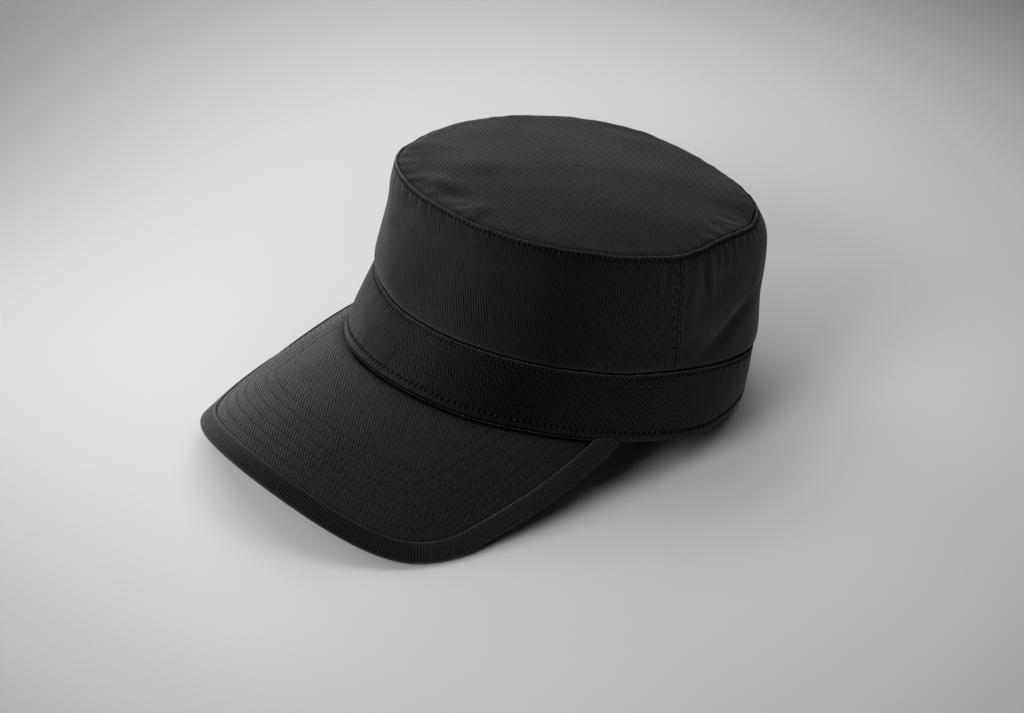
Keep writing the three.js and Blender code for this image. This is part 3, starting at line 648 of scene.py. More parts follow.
# ---- the band ----
def band_body():
    count = 1200
    deg = np.arange(count) * 360 / count
    h = band_height(deg)
    low = [0.95, 1.2, 1.6, 2.1, 2.6, 3.1, 3.5, 3.8, 4.1, 4.35, 4.6, 4.85, 5.15, 5.5, 6.0, 6.8, 8.0]
    top = [7.0, 5.4, 4.2, 3.3, 2.7, 2.3, 2.0, 1.8, 1.6, 1.4, 1.2, 1.0, 0.8, 0.6]
    rows, up_mm = [], []
    for a in low:
        rows.append(band_wall(deg, a / h))
        up_mm.append(np.full(count, a))
    for m in np.linspace(0, 1, 14)[1:-1]:
        a = 8.0 + (h - 7.0 - 8.0) * m
        rows.append(band_wall(deg, a / h))
        up_mm.append(a)
    for t in top:
        rows.append(band_wall(deg, (h - t) / h))
        up_mm.append(h - t)
    outer, up_mm = np.stack(rows), np.stack(up_mm)
    n = grid_normals(outer, True)
    u_line = arc_u(band_wall(deg, 0.5), True)
    u = u_line[None, :-1] + 0 * up_mm
    from_top = h[None, :] - up_mm
    env = smooth_step(up_mm, 2, 8) * smooth_step(from_top, 1, 6)
    out = 0.22 * drift(u, up_mm, 1.5, 7.0) * env
    out = out + 0.34 * smooth_step(up_mm, 0.2, 1.6) * (1 - smooth_step(up_mm, 3.0, 5.2))
    out = out + 0.16 * smooth_step(from_top, 0.1, 0.7) * (1 - smooth_step(from_top, 1.4, 3.0))
    ripple = np.sin(2 * np.pi * (u / 8.3 + 0.5 * drift(u, 0 * u, 3.0, 8.0)))
    out = out + ripple * 0.07 * np.exp(-((up_mm - 6.0) / 3.0) ** 2) + ripple[:, ::-1] * 0.06 * np.exp(-((from_top - 3.2) / 2.4) ** 2)
    outer = outer + n * out[..., None]
    n = grid_normals(outer, True)
    rows_ = [
        Row(wall_row(outer, up_mm, h, "top", BAND_ROW_AT), wall_row(n, up_mm, h, "top", BAND_ROW_AT), BAND_PITCH, True),
        Row(wall_row(outer, up_mm, h, "low", LOW_ROW_AT), wall_row(n, up_mm, h, "low", LOW_ROW_AT), LOW_PITCH, True),
    ]
    mask = (from_top < 3.6) | ((up_mm < 7.0) & (up_mm > 2.4))
    outer, hole_shade = apply_rows(outer, n, mask, rows_, 0.16, 0.5, 0.8, 0.64)
    hole_shade = hole_shade * np.where(up_mm > 13, 0.45, 1.0)
    level = outward(0, deg)
    up_dir = oval(1, deg) - oval(0, deg)
    up_dir = up_dir / np.linalg.norm(up_dir, axis=-1, keepdims=True)
    roll = 0.52
    edge = outer[-1] + up_dir * (top[-1] - roll)
    more = [edge - level * roll * (1 - math.cos(a * RAD)) + up_dir * roll * math.sin(a * RAD) for a in range(20, 181, 20)]
    more.append(band_wall(deg, (h - 2.2) / h, 1.35))
    inner = [band_wall(deg, (h - 5.0) / h, 2.0)] + [band_wall(deg, m, BAND_WALL) for m in (0.7, 0.5, 0.3, 0.12)]
    # bottom edge, rounded between inner and outer faces
    bottom_roll = 1.1
    low_mid = band_wall(deg, bottom_roll / h, bottom_roll)
    under = [low_mid - level * bottom_roll * math.cos(a * RAD) - up_dir * bottom_roll * math.sin(a * RAD) for a in range(0, 170, 17)]
    p = np.concatenate([outer, np.stack(more), np.stack(inner), np.stack(under)])
    nj = len(p)
    dist = np.concatenate([np.zeros((1, count)), np.cumsum(np.linalg.norm(np.diff(p, axis=0), axis=-1), axis=0)]) + 0.95
    v = np.vstack([dist, dist[-1:] + 0.4])
    no = len(outer)
    # painted light and painted shade on the band: lit top edge and roll, a lit line above the peak seam, lighter at the
    # front left, a painted shadow near 38 degrees
    painted_light_and_shade = np.zeros(p.shape[:2])
    painted_light_and_shade[:no] = np.exp(-(from_top / 0.7) ** 2) + 0.25 * np.exp(-((up_mm - 2.4) / 1.3) ** 2) + (0.6 * bump(turn(deg, -18), 16) + 0.5 * bump(turn(deg, 8), 12) - 0.45 * bump(turn(deg, 38), 16))[None, :]
    painted_light_and_shade[no : no + 6] = 1.0
    painted_light_and_shade[no + 6 : no + 9] = 0.3
    pit = np.zeros(p.shape[:2])
    pit[:no] = hole_shade
    # painted shade at the foot of the band where it meets the peak, and on its inside and rounded bottom edge,
    # strongest at the front right
    painted_shade = np.zeros(p.shape[:2])
    at_peak = 0.25 + 0.85 * (1 - smooth_step(turn(deg, 0), 64, 74)) * (1 - 0.7 * smooth_step(-turn(deg, 0), 12, 40))
    painted_shade[:no] = at_peak * np.exp(-((np.maximum(up_mm - 0.5, 0)) / 0.8) ** 2)
    painted_shade[no + 9 :] = at_peak
    obj = section_body("band_cloth", p, np.broadcast_to(u_line, (nj, count + 1)), v, {"painted_light_and_shade": painted_light_and_shade, "painted_shade": painted_shade, "pit": pit}, True)
    return obj, rows_


# ---- the peak ----
STITCH_LINES = [14.4, 19.7, 24.6, 29.9, 35.2, 40.3]


def edge_distance(points):
    edge = peak_edge(np.linspace(-1, 1, 4001))
    return distances(points, tree_of(edge), 200.0)


def line_on_grid(grid, value, level):
    """Where a value that grows along each column passes a level: points of the grid there."""
    out = []
    for i in range(grid.shape[1]):
        col = value[:, i]
        if col[-1] < level:
            continue
        k = int(np.argmax(col >= level))
        if k == 0:
            continue
        t = (level - col[k - 1]) / (col[k] - col[k - 1])
        out.append(grid[k - 1, i] * (1 - t) + grid[k, i] * t)
    return np.array(out)


PEAK_END = 0.985
PLATE_INSET = 2.25


def plate_side(side, runs, shares):
    r = runs[None, :]
    width = peak_width(runs)[None, :]
    start = np.minimum(PLATE_INSET, 0.45 * width) / width
    share = start + (1 - start) * shares[:, None]
    rr = np.broadcast_to(r, share.shape)
    p = peak_middle(rr, share)
    tilt = np.minimum(1 - clamp01((share - 0.86) / 0.14), clamp01((1 - np.abs(rr)) / 0.04))[..., None]
    d = peak_up(rr, share) * tilt + np.array([0, 0, 1.0]) * (1 - tilt)
    d = d / np.linalg.norm(d, axis=-1, keepdims=True)
    return p, d, share


def peak_body():
    nr = 620
    ns = 104
    runs = np.linspace(-PEAK_END, PEAK_END, nr)
    # spread the runs so that the columns are evenly spaced along the edge
    fine = np.linspace(-PEAK_END, PEAK_END, 2001)
    s = arc_u((peak_edge(fine) + peak_seam(fine)) / 2, False)
    runs = np.interp(np.linspace(0, s[-1], nr), s, fine)
    shares = np.linspace(0, 1, ns)
    p, d, share = plate_side(1, runs, shares)
    dist = edge_distance(p)
    top = p + d * (PEAK_THICK / 2)
    out = 0.16 * drift(p[..., 0], p[..., 1], 1.8, 11.0) * smooth_step(dist, 9, 20)
    quilt = np.zeros_like(dist)
    for a, b in zip(STITCH_LINES[:-1], STITCH_LINES[1:]):
        quilt = quilt + 0.1 * np.sin(np.pi * clamp01((dist - a) / (b - a))) ** 0.7
    quilt = quilt + 0.08 * np.sin(np.pi * clamp01((dist - 8.9) / (14.4 - 8.9))) ** 0.7
    firm = (1 - 0.45 * smooth_step(-runs, 0.22, 0.45))[None, :]
    out = out + quilt * firm - 0.06
    n = grid_normals(top, False)
    n = np.where(np.sum(n * d, -1, keepdims=True) < 0, -n, n)
    top = top + n * (out * smooth_step(1 - share, 0.0, 0.03))[..., None]
    normals = grid_normals(top, False)
    normals = np.where(np.sum(normals * d, -1, keepdims=True) < 0, -normals, normals)
    rows = []
    for level in STITCH_LINES:
        q = line_on_grid(top, dist, level)
        m = line_on_grid(normals, dist, level)
        rows.append(Row(q, m, PEAK_PITCH))
    mask = (dist > 12.5) & (dist < 43)
    sunk, hole_shade = apply_rows(top, normals, mask, rows, 0.1, 0.5, 0.3, 0.42)
    top = top + (sunk - top) * firm[..., None]
    # painted shade in the needle holes, fainter on the left side
    hole_shade = 0.55 * hole_shade * firm
    # under side: the same rows seen from below, coarser
    nu = 30
    under_shares = np.linspace(1, 0, nu)
    q, e, _ = plate_side(-1, runs, under_shares)
    low = q - e * (PEAK_THICK / 2)
    seam_top = peak_seam(runs, BAND_WALL)
    tuck_top, tuck_low = seam_top.copy(), seam_top.copy()
    tuck_top[:, 2] += PEAK_THICK / 2
    tuck_low[:, 2] -= PEAK_THICK / 2
    nose = []
    mid, dn, _ = plate_side(1, runs, np.array([0.0]))
    out_dir = peak_edge(runs) - peak_seam(runs)
    out_dir = out_dir / np.linalg.norm(out_dir, axis=-1, keepdims=True)
    for a in (-60, -30, 0, 30, 60):
        nose.append(mid[0] + dn[0] * (PEAK_THICK / 2) * math.sin(a * RAD) + out_dir * 0.55 * math.cos(a * RAD))
    p_all = np.concatenate([top, tuck_top[None], tuck_low[None], low, np.stack(nose)])
    nj = len(p_all)
    # cloth coordinates: across the arch and down the slope
    def flat(pp):
        past = -(pp[..., 1] + OVALS[0][1])
        r = PEAK["arch"] + PEAK["archPerLength"] * past
        u = r * np.arcsin(np.clip(pp[..., 0] / r, -0.97, 0.97))
        return u, -pp[..., 1] * math.sqrt(1 + PEAK["slope"] ** 2)
    uu, vv = flat(p_all)
    u = uu
    v = np.vstack([vv, vv[-1:]])
    no = len(top)
    painted_light_and_shade = np.zeros(p_all.shape[:2])
    pit = np.zeros(p_all.shape[:2])
    pit[:no] = hole_shade
    painted_shade = np.zeros(p_all.shape[:2])
    # painted shade: a dark line along the binding's inner edge and where the peak runs in under the band, both less on
    # the left side
    painted_shade[:no] = 0.9 * bump(dist - 8.7, 0.65) * (1 - 0.85 * smooth_step(-runs, 0.42, 0.6))[None, :] + 1.1 * bump((1 - share) * peak_width(runs)[None, :], 1.5) * (1 - 0.6 * smooth_step(-runs, 0.15, 0.45))[None, :] + 0.35 * bump((1 - share) * peak_width(runs)[None, :], 5.0)
    obj = section_body("peak_cloth", p_all, u, v, {"painted_light_and_shade": painted_light_and_shade, "painted_shade": np.clip(painted_shade, 0, 1.1), "pit": pit}, False)
    return obj, rows


# ---- the binding ----
PATH_STEP, PATH_COUNT = 0.4, 26


def paths_from_edge(edge):
    """Walks in from the edge over the peak's middle surface, square to the edge. Returns the places, and which
    way is up there, by step and run."""
    grid = peak_middle(np.linspace(-0.985, 0.985, 901)[None, :], np.linspace(0, 1.15, 90)[:, None])
    up = grid_normals(grid, False)
    up = np.where(up[..., 2:] < 0, -up, up).reshape(-1, 3)
    grid = grid.reshape(-1, 3)
    kd = tree_of(grid)
    places, ups = [], []
    tangent = np.gradient(edge, axis=0)
    start = up[np.array([kd.find(x)[1] for x in edge])]
    way = np.cross(start, tangent)
    way = way / np.linalg.norm(way, axis=-1, keepdims=True)
    middle = len(edge) // 2
    way = way * np.sign(way[middle, 1])
    q = edge.copy()
    for _ in range(PATH_COUNT):
        pick = np.array([kd.find(x)[1] for x in q])
        n = up[pick]
        q = q - n * np.sum(n * (q - grid[pick]), -1, keepdims=True)
        places.append(q)
        ups.append(n)
        way = way - n * np.sum(n * way, -1, keepdims=True)
        way = way / np.linalg.norm(way, axis=-1, keepdims=True)
        q = q + way * PATH_STEP
    places, ups = np.stack(places), np.stack(ups)
    for _ in range(3):
        ups = along_mean(ups)
        places[1:] = along_mean(places)[1:]
    return places, ups / np.linalg.norm(ups, axis=-1, keepdims=True)


def along_mean(a):
    """Evens a grid out along its second axis."""
    pad = np.pad(a, ((0, 0), (2, 2), (0, 0)), mode="edge")
    m = a.shape[1]
    even = sum(pad[:, k : k + m] for k in range(5)) / 5
    even[:, :3] = a[:, :3]
    even[:, -3:] = a[:, -3:]
    return even


def binding_body():
    nr = 700
    fine = np.linspace(-0.997, 0.997, 2001)
    s = arc_u(peak_edge(fine), False)
    runs = np.interp(np.linspace(0, s[-1], nr), s, fine)
    u_line = np.linspace(0, s[-1], nr)
    half = PEAK_THICK / 2
    inner_h = half + 0.22
    outer_h = half + SEAM_GAP + BINDING_WALL
    edge = peak_middle(runs, np.zeros(nr))
    places, ups = paths_from_edge(edge)
    # how far in the strip reaches: its full width, less where it runs in under the band
    ring_deg = np.arange(-100, 100, 0.1)
    ring, ring_out = oval(0, ring_deg), outward(0, ring_deg)
    ring_flat = ring.copy()
    ring_flat[:, 2] = 0
    kd = tree_of(ring_flat)
    reach = np.full(nr, BINDING_REACH)
    for i in range(nr):
        for step in np.arange(1.2, BINDING_REACH, 0.1):
            t = step / PATH_STEP
            q = places[int(t), i] + (places[int(t) + 1, i] - places[int(t), i]) * (t - int(t))
            k = kd.find((q[0], q[1], 0.0))[1]
            if (q[:2] - ring[k, :2]) @ ring_out[k, :2] < -1.6:
                reach[i] = step
                break
    pad = np.pad(reach, 4, mode="edge")
    reach = sum(pad[k : k + nr] for k in range(9)) / 9
    column = np.arange(nr)

    def place(along, high):
        t = np.clip(along / PATH_STEP, 0, PATH_COUNT - 1.001)
        k = t.astype(int)
        f = (t - k)[:, None]
        a = places[k, column] * (1 - f) + places[k + 1, column] * f
        n = ups[k, column] * (1 - f) + ups[k + 1, column] * f
        n = n / np.linalg.norm(n, axis=-1, keepdims=True)
        return a + n * high[:, None]

    flat_u = 0.1 * drift(u_line, 0 * u_line, 1.2, 3.0)
    rows, painted_light_and_shade, painted_shade = [], [], []

    far_side = smooth_step(-runs, 0.42, 0.6)

    def add(along, high, w, g=0.0):
        high = np.asarray(high) + 0 * reach
        high = np.where(high > inner_h, inner_h + (high - inner_h) * (1 - 0.6 * far_side), high)
        rows.append(place(np.asarray(along) + 0 * reach, high))
        # painted light: each row's lit amount w, lighter over the far side, the right end and the front left
        painted_light_and_shade.append(w * (1 - 0.7 * far_side) + 1.1 * far_side + 0.6 * smooth_step(runs, 0.5, 0.66) + 0.5 * smooth_step(-runs, 0.05, 0.35) * (1 - far_side))
        painted_shade.append(np.full(nr, g))

    edge_h = inner_h + 0.05
    # the turned inner edge of the upper leg, then the puffed strip out to the nose
    for a in (0, 30, 60, 90):
        add(reach - 0.45 * (1 - math.cos(a * RAD)), edge_h + 0.85 * math.sin(a * RAD), 0.5 + 0.7 * math.sin(a * RAD))
    add(reach - 1.0, edge_h + 0.78, 0.35)
    top_rows = [0.8, 0.72, 0.62, 0.52, 0.42, 0.32]
    for k in top_rows:
        add(reach * k, outer_h + 0.28 * math.sin(math.pi * (k - 0.1) / 0.85) + flat_u - 0.12, 0.0)
    back = np.minimum(1.75, reach * 0.3)
    for a in (75, 58, 42, 27, 13, 0, -13, -27, -42, -58, -75):
        # painted shade under the lower half of the nose
        add(back - back * math.cos(a * RAD) ** 0.85, outer_h * math.sin(a * RAD), 0.0, 0.35 * clamp01(-a / 50))
    for k in reversed(top_rows):
        add(reach * k, -(outer_h + 0.2 * math.sin(math.pi * (k - 0.1) / 0.85) - 0.1), 0.0)
    for a in (90, 45, 0):
        add(reach - 0.45 * (1 - math.cos(a * RAD)), -(edge_h + 0.85 * math.sin(a * RAD)), 0.2)
    outer_n = len(rows)
    # inner side, hugging the plate
    for k in (0.8, 0.5, 0.25):
        add(reach * k, -inner_h, 0.0)
    for a in (-90, -45, 0, 45, 90):
        add(1.2 - 0.25 * math.cos(a * RAD), inner_h * math.sin(a * RAD), 0.0)
    for k in (0.25, 0.5, 0.8):
        add(reach * k, inner_h, 0.0)
    p = np.stack(rows)
    v0 = np.concatenate([[0], np.cumsum(np.linalg.norm(np.diff(p[:, nr // 2], axis=0), axis=-1))])
    v = np.broadcast_to(np.append(v0, v0[-1] + 0.6)[:, None], (len(p) + 1, nr))
    p = p[::-1]
    v = v[::-1]
    painted_light_and_shade, painted_shade = np.stack(painted_light_and_shade)[::-1], np.stack(painted_shade)[::-1]
    zero = np.zeros(p.shape[:2])
    return section_body("peak_binding_cloth", p, np.broadcast_to(u_line, p.shape[:2]), v, {"painted_light_and_shade": painted_light_and_shade, "painted_shade": painted_shade, "pit": zero}, False)


# ---- materials ----
def twill(name, colour, angle, pitch, strength=0.5, contrast=0.95, sheen=0.195, shine=0.046, fade=(0.5, 0.78), yarns=0.35):
    """Twill cloth: ribs at an angle to the cloth's u direction, pitch in mm across the ribs."""
    mat = bpy.data.materials.new(name)
    mat.use_nodes = True
    nt = mat.node_tree
    nt.nodes.clear()
    link = nt.links.new

    def node(kind, **values):
        n = nt.nodes.new(kind)
        for k, val in values.items():
            setattr(n, k, val)
        return n

    def math_node(op, a, b=None, clamp=False):
        n = node("ShaderNodeMath", operation=op, use_clamp=clamp)
        for slot_, val in ((0, a), (1, b)):
            if val is None:
                continue
            if isinstance(val, (int, float)):
                n.inputs[slot_].default_value = val
            else:
                link(val, n.inputs[slot_])
        return n.outputs[0]

    out = node("ShaderNodeOutputMaterial")
    bsdf = node("ShaderNodeBsdfPrincipled")
    link(bsdf.outputs[0], out.inputs[0])
    uv = node("ShaderNodeUVMap", uv_map="cloth")
    sep = node("ShaderNodeSeparateXYZ")
    link(uv.outputs[0], sep.inputs[0])
    a = angle * RAD
    # p runs across the ribs, q along them, both in mm
    p = math_node("ADD", math_node("MULTIPLY", sep.outputs[0], math.sin(a)), math_node("MULTIPLY", sep.outputs[1], -math.cos(a)))
    q = math_node("ADD", math_node("MULTIPLY", sep.outputs[0], math.cos(a)), math_node("MULTIPLY", sep.outputs[1], math.sin(a)))
    pq = node("ShaderNodeCombineXYZ")
    link(p, pq.inputs[0])
    link(q, pq.inputs[1])

    def noise(scale_p, scale_q, detail=2.0, rough=0.5, seed=0.0):
        m = node("ShaderNodeMapping")
        m.inputs["Scale"].default_value = (scale_p, scale_q, 1)
        m.inputs["Location"].default_value = (seed, seed * 0.7, 0)
        link(pq.outputs[0], m.inputs["Vector"])
        n = node("ShaderNodeTexNoise", noise_dimensions="2D")
        n.inputs["Scale"].default_value = 1.0
        n.inputs["Detail"].default_value = detail
        n.inputs["Roughness"].default_value = rough
        link(m.outputs[0], n.inputs["Vector"])
        return n.outputs[0]

    wander = math_node("MULTIPLY", math_node("SUBTRACT", noise(0.12, 0.05, 2.0, 0.5, 3.1), 0.5), 0.9)
    shake = math_node("MULTIPLY", math_node("SUBTRACT", noise(0.7, 0.45, 2.0, 0.6, 8.7), 0.5), 0.18)
    phase = math_node("MULTIPLY", math_node("ADD", math_node("ADD", p, wander), shake), 2 * math.pi / pitch)
    rib = math_node("ADD", math_node("MULTIPLY", math_node("SINE", phase), 0.85), 0.5, True)
    yarn = noise(1.6 / pitch * 1.6, 0.95, 2.0, 0.6, 1.3)
    slub = noise(0.5, 0.16, 3.0, 0.6, 5.9)
    grain = noise(3.6, 3.6, 2.0, 0.7, 12.0)
    blotch = noise(0.02, 0.016, 3.0, 0.55, 20.0)
    ribbed = math_node("POWER", rib, 0.85)
    # seen edge on, the ribs close up and no longer show
    facing = node("ShaderNodeLayerWeight")
    facing.inputs["Blend"].default_value = 0.5
    shown = node("ShaderNodeMapRange")
    shown.inputs["From Min"].default_value = 1 - fade[0]
    shown.inputs["From Max"].default_value = 1 - fade[1]
    link(facing.outputs["Facing"], shown.inputs["Value"])
    ribbed = math_node("ADD", math_node("MULTIPLY", math_node("SUBTRACT", ribbed, 0.5), shown.outputs[0]), 0.5)
    height = math_node("ADD", math_node("ADD", math_node("MULTIPLY", ribbed, 0.8), math_node("MULTIPLY", yarn, 0.1)), math_node("MULTIPLY", grain, 0.15))
    bump_node = node("ShaderNodeBump")
    bump_node.inputs["Strength"].default_value = strength
    bump_node.inputs["Distance"].default_value = 0.00035
    link(height, bump_node.inputs["Height"])
    link(bump_node.outputs[0], bsdf.inputs["Normal"])

    def attribute(key):
        n = node("ShaderNodeAttribute", attribute_name=key)
        return n.outputs["Fac"]

    painted_light_and_shade, painted_shade, pit = attribute("painted_light_and_shade"), attribute("painted_shade"), attribute("pit")
    # value: ribs, yarns and slow blotches, lighter and darker by painted light and shade, and darker by painted shade
    # in grooves and needle holes
    value = math_node("ADD", math_node("MULTIPLY", math_node("SUBTRACT", ribbed, 0.5), contrast), 1.0)
    value = math_node("ADD", value, math_node("MULTIPLY", math_node("SUBTRACT", yarn, 0.5), contrast * yarns))
    value = math_node("ADD", value, math_node("MULTIPLY", math_node("SUBTRACT", slub, 0.5), contrast * 0.45))
    value = math_node("ADD", value, math_node("MULTIPLY", math_node("SUBTRACT", blotch, 0.5), 0.35))
    value = math_node("MULTIPLY", value, math_node("ADD", math_node("MULTIPLY", painted_light_and_shade, 0.8), 1.0))
    value = math_node("MULTIPLY", value, math_node("SUBTRACT", 1.0, math_node("MULTIPLY", painted_shade, 0.88)))
    value = math_node("MULTIPLY", value, math_node("SUBTRACT", 1.0, math_node("MULTIPLY", pit, 1.0)))
    value = math_node("MAXIMUM", value, 0.03)
    base = node("ShaderNodeVectorMath", operation="SCALE")
    base.inputs[0].default_value = colour
    link(value, base.inputs["Scale"])
    link(base.outputs[0], bsdf.inputs["Base Color"])
    bsdf.inputs["Roughness"].default_value = 0.92
    link(math_node("MULTIPLY", value, shine, True), bsdf.inputs["Specular IOR Level"])
    link(math_node("MULTIPLY", value, sheen, True), bsdf.inputs["Sheen Weight"])
    bsdf.inputs["Sheen Roughness"].default_value = 0.45
    bsdf.inputs["Sheen Tint"].default_value = (1, 1, 1, 1)
    return mat


def thread_material():
    mat = bpy.data.materials.new("sewing_thread")
    mat.use_nodes = True
    nt = mat.node_tree
    bsdf = nt.nodes["Principled BSDF"]
    tex = nt.nodes.new("ShaderNodeTexCoord")
    wave = nt.nodes.new("ShaderNodeTexNoise")
    wave.inputs["Scale"].default_value = 1600
    wave.inputs["Detail"].default_value = 2
    nt.links.new(tex.outputs["Object"], wave.inputs["Vector"])
    ramp = nt.nodes.new("ShaderNodeMapRange")
    ramp.inputs["To Min"].default_value = 0.6
    ramp.inputs["To Max"].default_value = 1.4
    nt.links.new(wave.outputs[0], ramp.inputs["Value"])
    base = nt.nodes.new("ShaderNodeVectorMath")
    base.operation = "SCALE"
    base.inputs[0].default_value = (0.011, 0.011, 0.011)
    nt.links.new(ramp.outputs[0], base.inputs["Scale"])
    nt.links.new(base.outputs[0], bsdf.inputs["Base Color"])
    b = nt.nodes.new("ShaderNodeBump")
    b.inputs["Distance"].default_value = 0.0001
    b.inputs["Strength"].default_value = 0.4
    nt.links.new(wave.outputs[0], b.inputs["Height"])
    nt.links.new(b.outputs[0], bsdf.inputs["Normal"])
    bsdf.inputs["Roughness"].default_value = 0.6
    bsdf.inputs["Specular IOR Level"].default_value = 0.25
    return mat


BLACK = (0.0075, 0.0075, 0.0075)
# the same black darkened, as painted shade on the top panel and the band
SHADED_BLACK = (0.0065, 0.0065, 0.0065)
# a paler black, used for the peak
PALER_BLACK = (0.0112, 0.0112, 0.0112)
MAT = {
    "top": twill("top_twill", SHADED_BLACK, 131.5, 1.15, contrast=0.75, fade=(0.05, 0.3)),
    "front": twill("front_twill", BLACK, 107, 1.24, contrast=1.3, sheen=0.225, shine=0.054),
    "back": twill("back_twill", BLACK, 107, 1.24, contrast=1.1, sheen=0.225, shine=0.054),
    "band": twill("band_twill", SHADED_BLACK, 121.5, 1.21, contrast=1.15, yarns=0.08),
    "peak": twill("peak_twill", PALER_BLACK, 48, 1.34, contrast=1.1, sheen=0.33, shine=0.08, fade=(0.05, 0.3)),
    "binding": twill("binding_twill", BLACK, 92, 1.4, contrast=1.0, sheen=0.15, shine=0.05, fade=(0.1, 0.5)),
    "thread": thread_material(),
}

# ---- build ----
front, front_rows = crown_wall("crown_front_cloth", -SIDE_SEAM_DEG, SIDE_SEAM_DEG)
back, back_rows = crown_wall("crown_back_cloth", SIDE_SEAM_DEG, 360 - SIDE_SEAM_DEG)
top = top_panel()
band, band_rows = band_body()
peak, peak_rows = peak_body()
binding = binding_body()


def stitch_object(name, rows, radius, proud):
    verts, faces = threads(rows, 6, radius, proud)
    return make_object(name, verts, faces)


crown_thread = stitch_object("crown_stitches", front_rows + back_rows, 0.15, -0.1)
band_thread = stitch_object("band_stitches", band_rows, 0.17, -0.08)
peak_thread = stitch_object("peak_stitches", peak_rows, 0.17, 0.11)

for obj, mat, nodes, slot in [
    (front, "front", ["crown_front"], "crown_twill"),
    (back, "back", ["crown_back"], "crown_twill"),
    (top, "top", ["crown_top"], "crown_twill"),
    (band, "band", ["band"], "band_twill"),
    (peak, "peak", ["peak"], "peak_twill"),
    (binding, "binding", ["peak_binding"], "binding_twill"),
    (crown_thread, "thread", [], "crown_twill"),
    (band_thread, "thread", [], "band_twill"),
    (peak_thread, "thread", [], "peak_twill"),
]:
    obj.data.materials.append(MAT[mat])
    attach(obj, "root")
    if nodes:
        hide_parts(*nodes)

# ---- floor, light, camera ----
# where the painted pool of light on the table lies, how it is turned and how big it is
FALL_TURN, FALL_PLACE, FALL_SIZE = 51.748 * RAD, (-0.0436, 0.0914, 0.0), (0.225, 0.29, 1.0)


def floor_material():
    mat = bpy.data.materials.new("pale_table")
    mat.use_nodes = True
    nt = mat.node_tree
    bsdf = nt.nodes["Principled BSDF"]
    tex = nt.nodes.new("ShaderNodeTexCoord")
    noise = nt.nodes.new("ShaderNodeTexNoise")
    noise.inputs["Scale"].default_value = 3.0
    nt.links.new(tex.outputs["Object"], noise.inputs["Vector"])
    span = nt.nodes.new("ShaderNodeMapRange")
    span.inputs["To Min"].default_value = 0.98
    span.inputs["To Max"].default_value = 1.02
    nt.links.new(noise.outputs[0], span.inputs["Value"])
    # painted pool of light: the table's colour falls off away from the middle
    place = nt.nodes.new("ShaderNodeMapping")
    place.vector_type = "TEXTURE"
    place.inputs["Location"].default_value = FALL_PLACE
    place.inputs["Rotation"].default_value = (0, 0, FALL_TURN)
    place.inputs["Scale"].default_value = FALL_SIZE
    nt.links.new(tex.outputs["Object"], place.inputs["Vector"])
    length = nt.nodes.new("ShaderNodeVectorMath")
    length.operation = "LENGTH"
    nt.links.new(place.outputs[0], length.inputs[0])
    painted_light_pool = nt.nodes.new("ShaderNodeMapRange")
    painted_light_pool.interpolation_type = "SMOOTHSTEP"
    painted_light_pool.inputs["From Min"].default_value = 0.69
    painted_light_pool.inputs["From Max"].default_value = 2.17
    painted_light_pool.inputs["To Min"].default_value = 1.0
    painted_light_pool.inputs["To Max"].default_value = 0.26
    nt.links.new(length.outputs["Value"], painted_light_pool.inputs["Value"])
    both = nt.nodes.new("ShaderNodeMath")
    both.operation = "MULTIPLY"
    nt.links.new(span.outputs[0], both.inputs[0])
    nt.links.new(painted_light_pool.outputs[0], both.inputs[1])
    base = nt.nodes.new("ShaderNodeVectorMath")
    base.operation = "SCALE"
    base.inputs[0].default_value = (0.765, 0.76, 0.765)
    nt.links.new(both.outputs[0], base.inputs["Scale"])
    nt.links.new(base.outputs[0], bsdf.inputs["Base Color"])
    bsdf.inputs["Roughness"].default_value = 0.95
    bsdf.inputs["Specular IOR Level"].default_value = 0.1
    return mat


floor_mesh = bpy.data.meshes.new("floor")
S = 4.0
floor_mesh.from_pydata([(-S, -S, 0), (S, -S, 0), (S, S, 0), (-S, S, 0)], [], [(0, 1, 2, 3)])
floor = bpy.data.objects.new("floor", floor_mesh)
floor.data.materials.append(floor_material())
floor.location.z = -0.0002
scene.collection.objects.link(floor)

AZ, EL, FOCAL, DIST, CX, CY = 51.748, 31.317, 2600.0, 1186.608, 17.093, 45.417
az, el = AZ * RAD, EL * RAD
back_v = Vector((math.sin(az) * math.cos(el), -math.cos(az) * math.cos(el), math.sin(el)))
right_v = Vector((math.cos(az), math.sin(az), 0))
up_v = back_v.cross(right_v)
target = Vector((PLACE[0], PLACE[1], 50 - FLOOR))
centre = (target + back_v * DIST - right_v * CX - up_v * CY) / 1000
cam_data = bpy.data.cameras.new("camera")
cam_data.sensor_width = 36
cam_data.lens = 36 * FOCAL / 1024
cam_data.clip_start, cam_data.clip_end = 0.05, 20
cam = bpy.data.objects.new("camera", cam_data)
scene.collection.objects.link(cam)
cam.matrix_world = Matrix.Translation(centre) @ Matrix((right_v, up_v, back_v)).transposed().to_4x4()
scene.camera = cam


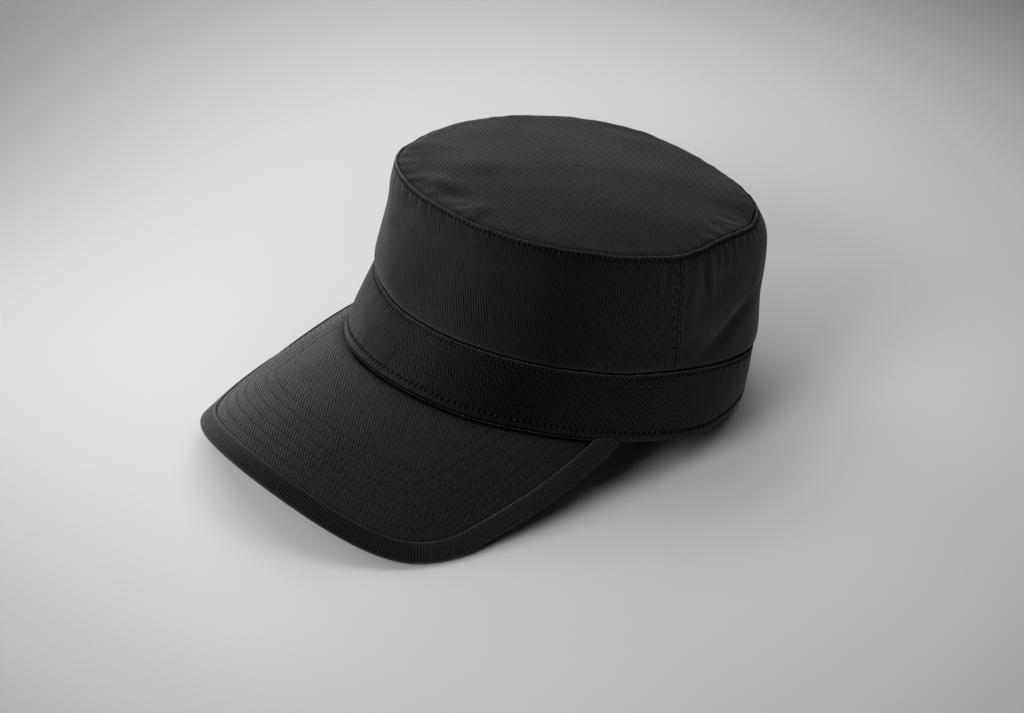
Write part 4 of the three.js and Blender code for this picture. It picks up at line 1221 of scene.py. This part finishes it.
def area_light(name, where, aim, size, power, colour=(1, 1, 1), spread=math.pi):
    data = bpy.data.lights.new(name, "AREA")
    data.shape = "DISK"
    data.size = size
    data.energy = power
    data.color = colour
    data.spread = spread
    obj = bpy.data.objects.new(name, data)
    obj.location = where
    obj.rotation_mode = "QUATERNION"
    obj.rotation_quaternion = (Vector(aim) - Vector(where)).to_track_quat("-Z", "Y")
    scene.collection.objects.link(obj)
    return obj


def seen_from_camera(right, depth, height):
    """A place by its offset to the camera's right and away from it, level, in metres."""
    away = Vector((-math.sin(az), math.cos(az), 0))
    p = right_v * right + away * depth
    return (p.x, p.y, height)


def from_cap(turned, elevation, distance, side=0.0):
    """A place by the direction from the cap: turned 0 is the camera's right, 90 away from it, 180 its left."""
    a, e = turned * RAD, elevation * RAD
    return seen_from_camera(distance * math.cos(e) * math.cos(a) + side, distance * math.cos(e) * math.sin(a), distance * math.sin(e) + 0.05)


# soft boxes all round the cap: name, place, what each is aimed at, size, power
BOXES = [
    ("front_left", from_cap(230, 30, 1.1), (0, 0, 0.03), 0.6, 6.6),
    ("behind", from_cap(90, 35, 1.2), (0, 0, 0.03), 0.6, 2.4),
    ("left", from_cap(200, 55, 1.2), (0, 0, 0.03), 0.7, 0.8),
    ("high_right", from_cap(20, 60, 1.3), (0, 0, 0.03), 0.8, 2.25),
    ("high_behind", from_cap(95, 66, 1.5), (0, 0, 0.05), 1.1, 4.0),
    ("low_behind", from_cap(120, 8, 0.9), (0, 0, 0.05), 0.4, 2.9),
    ("low_left", seen_from_camera(-0.42, 0.06, 0.17), seen_from_camera(-0.12, -0.06, 0.03), 0.16, 0.4),
    ("high_left", from_cap(150, 60, 1.2), (0, 0, 0.05), 0.6, 1.6),
]
for name, where, aim, size, power in BOXES:
    area_light(name, where, aim, size, power)
world = bpy.data.worlds.new("studio")
world.use_nodes = True
world.node_tree.nodes["Background"].inputs[0].default_value = (1.0, 1.0, 1.0, 1)
world.node_tree.nodes["Background"].inputs[1].default_value = 0.004
scene.world = world
scene.view_settings.view_transform = "Standard"
scene.view_settings.look = "None"
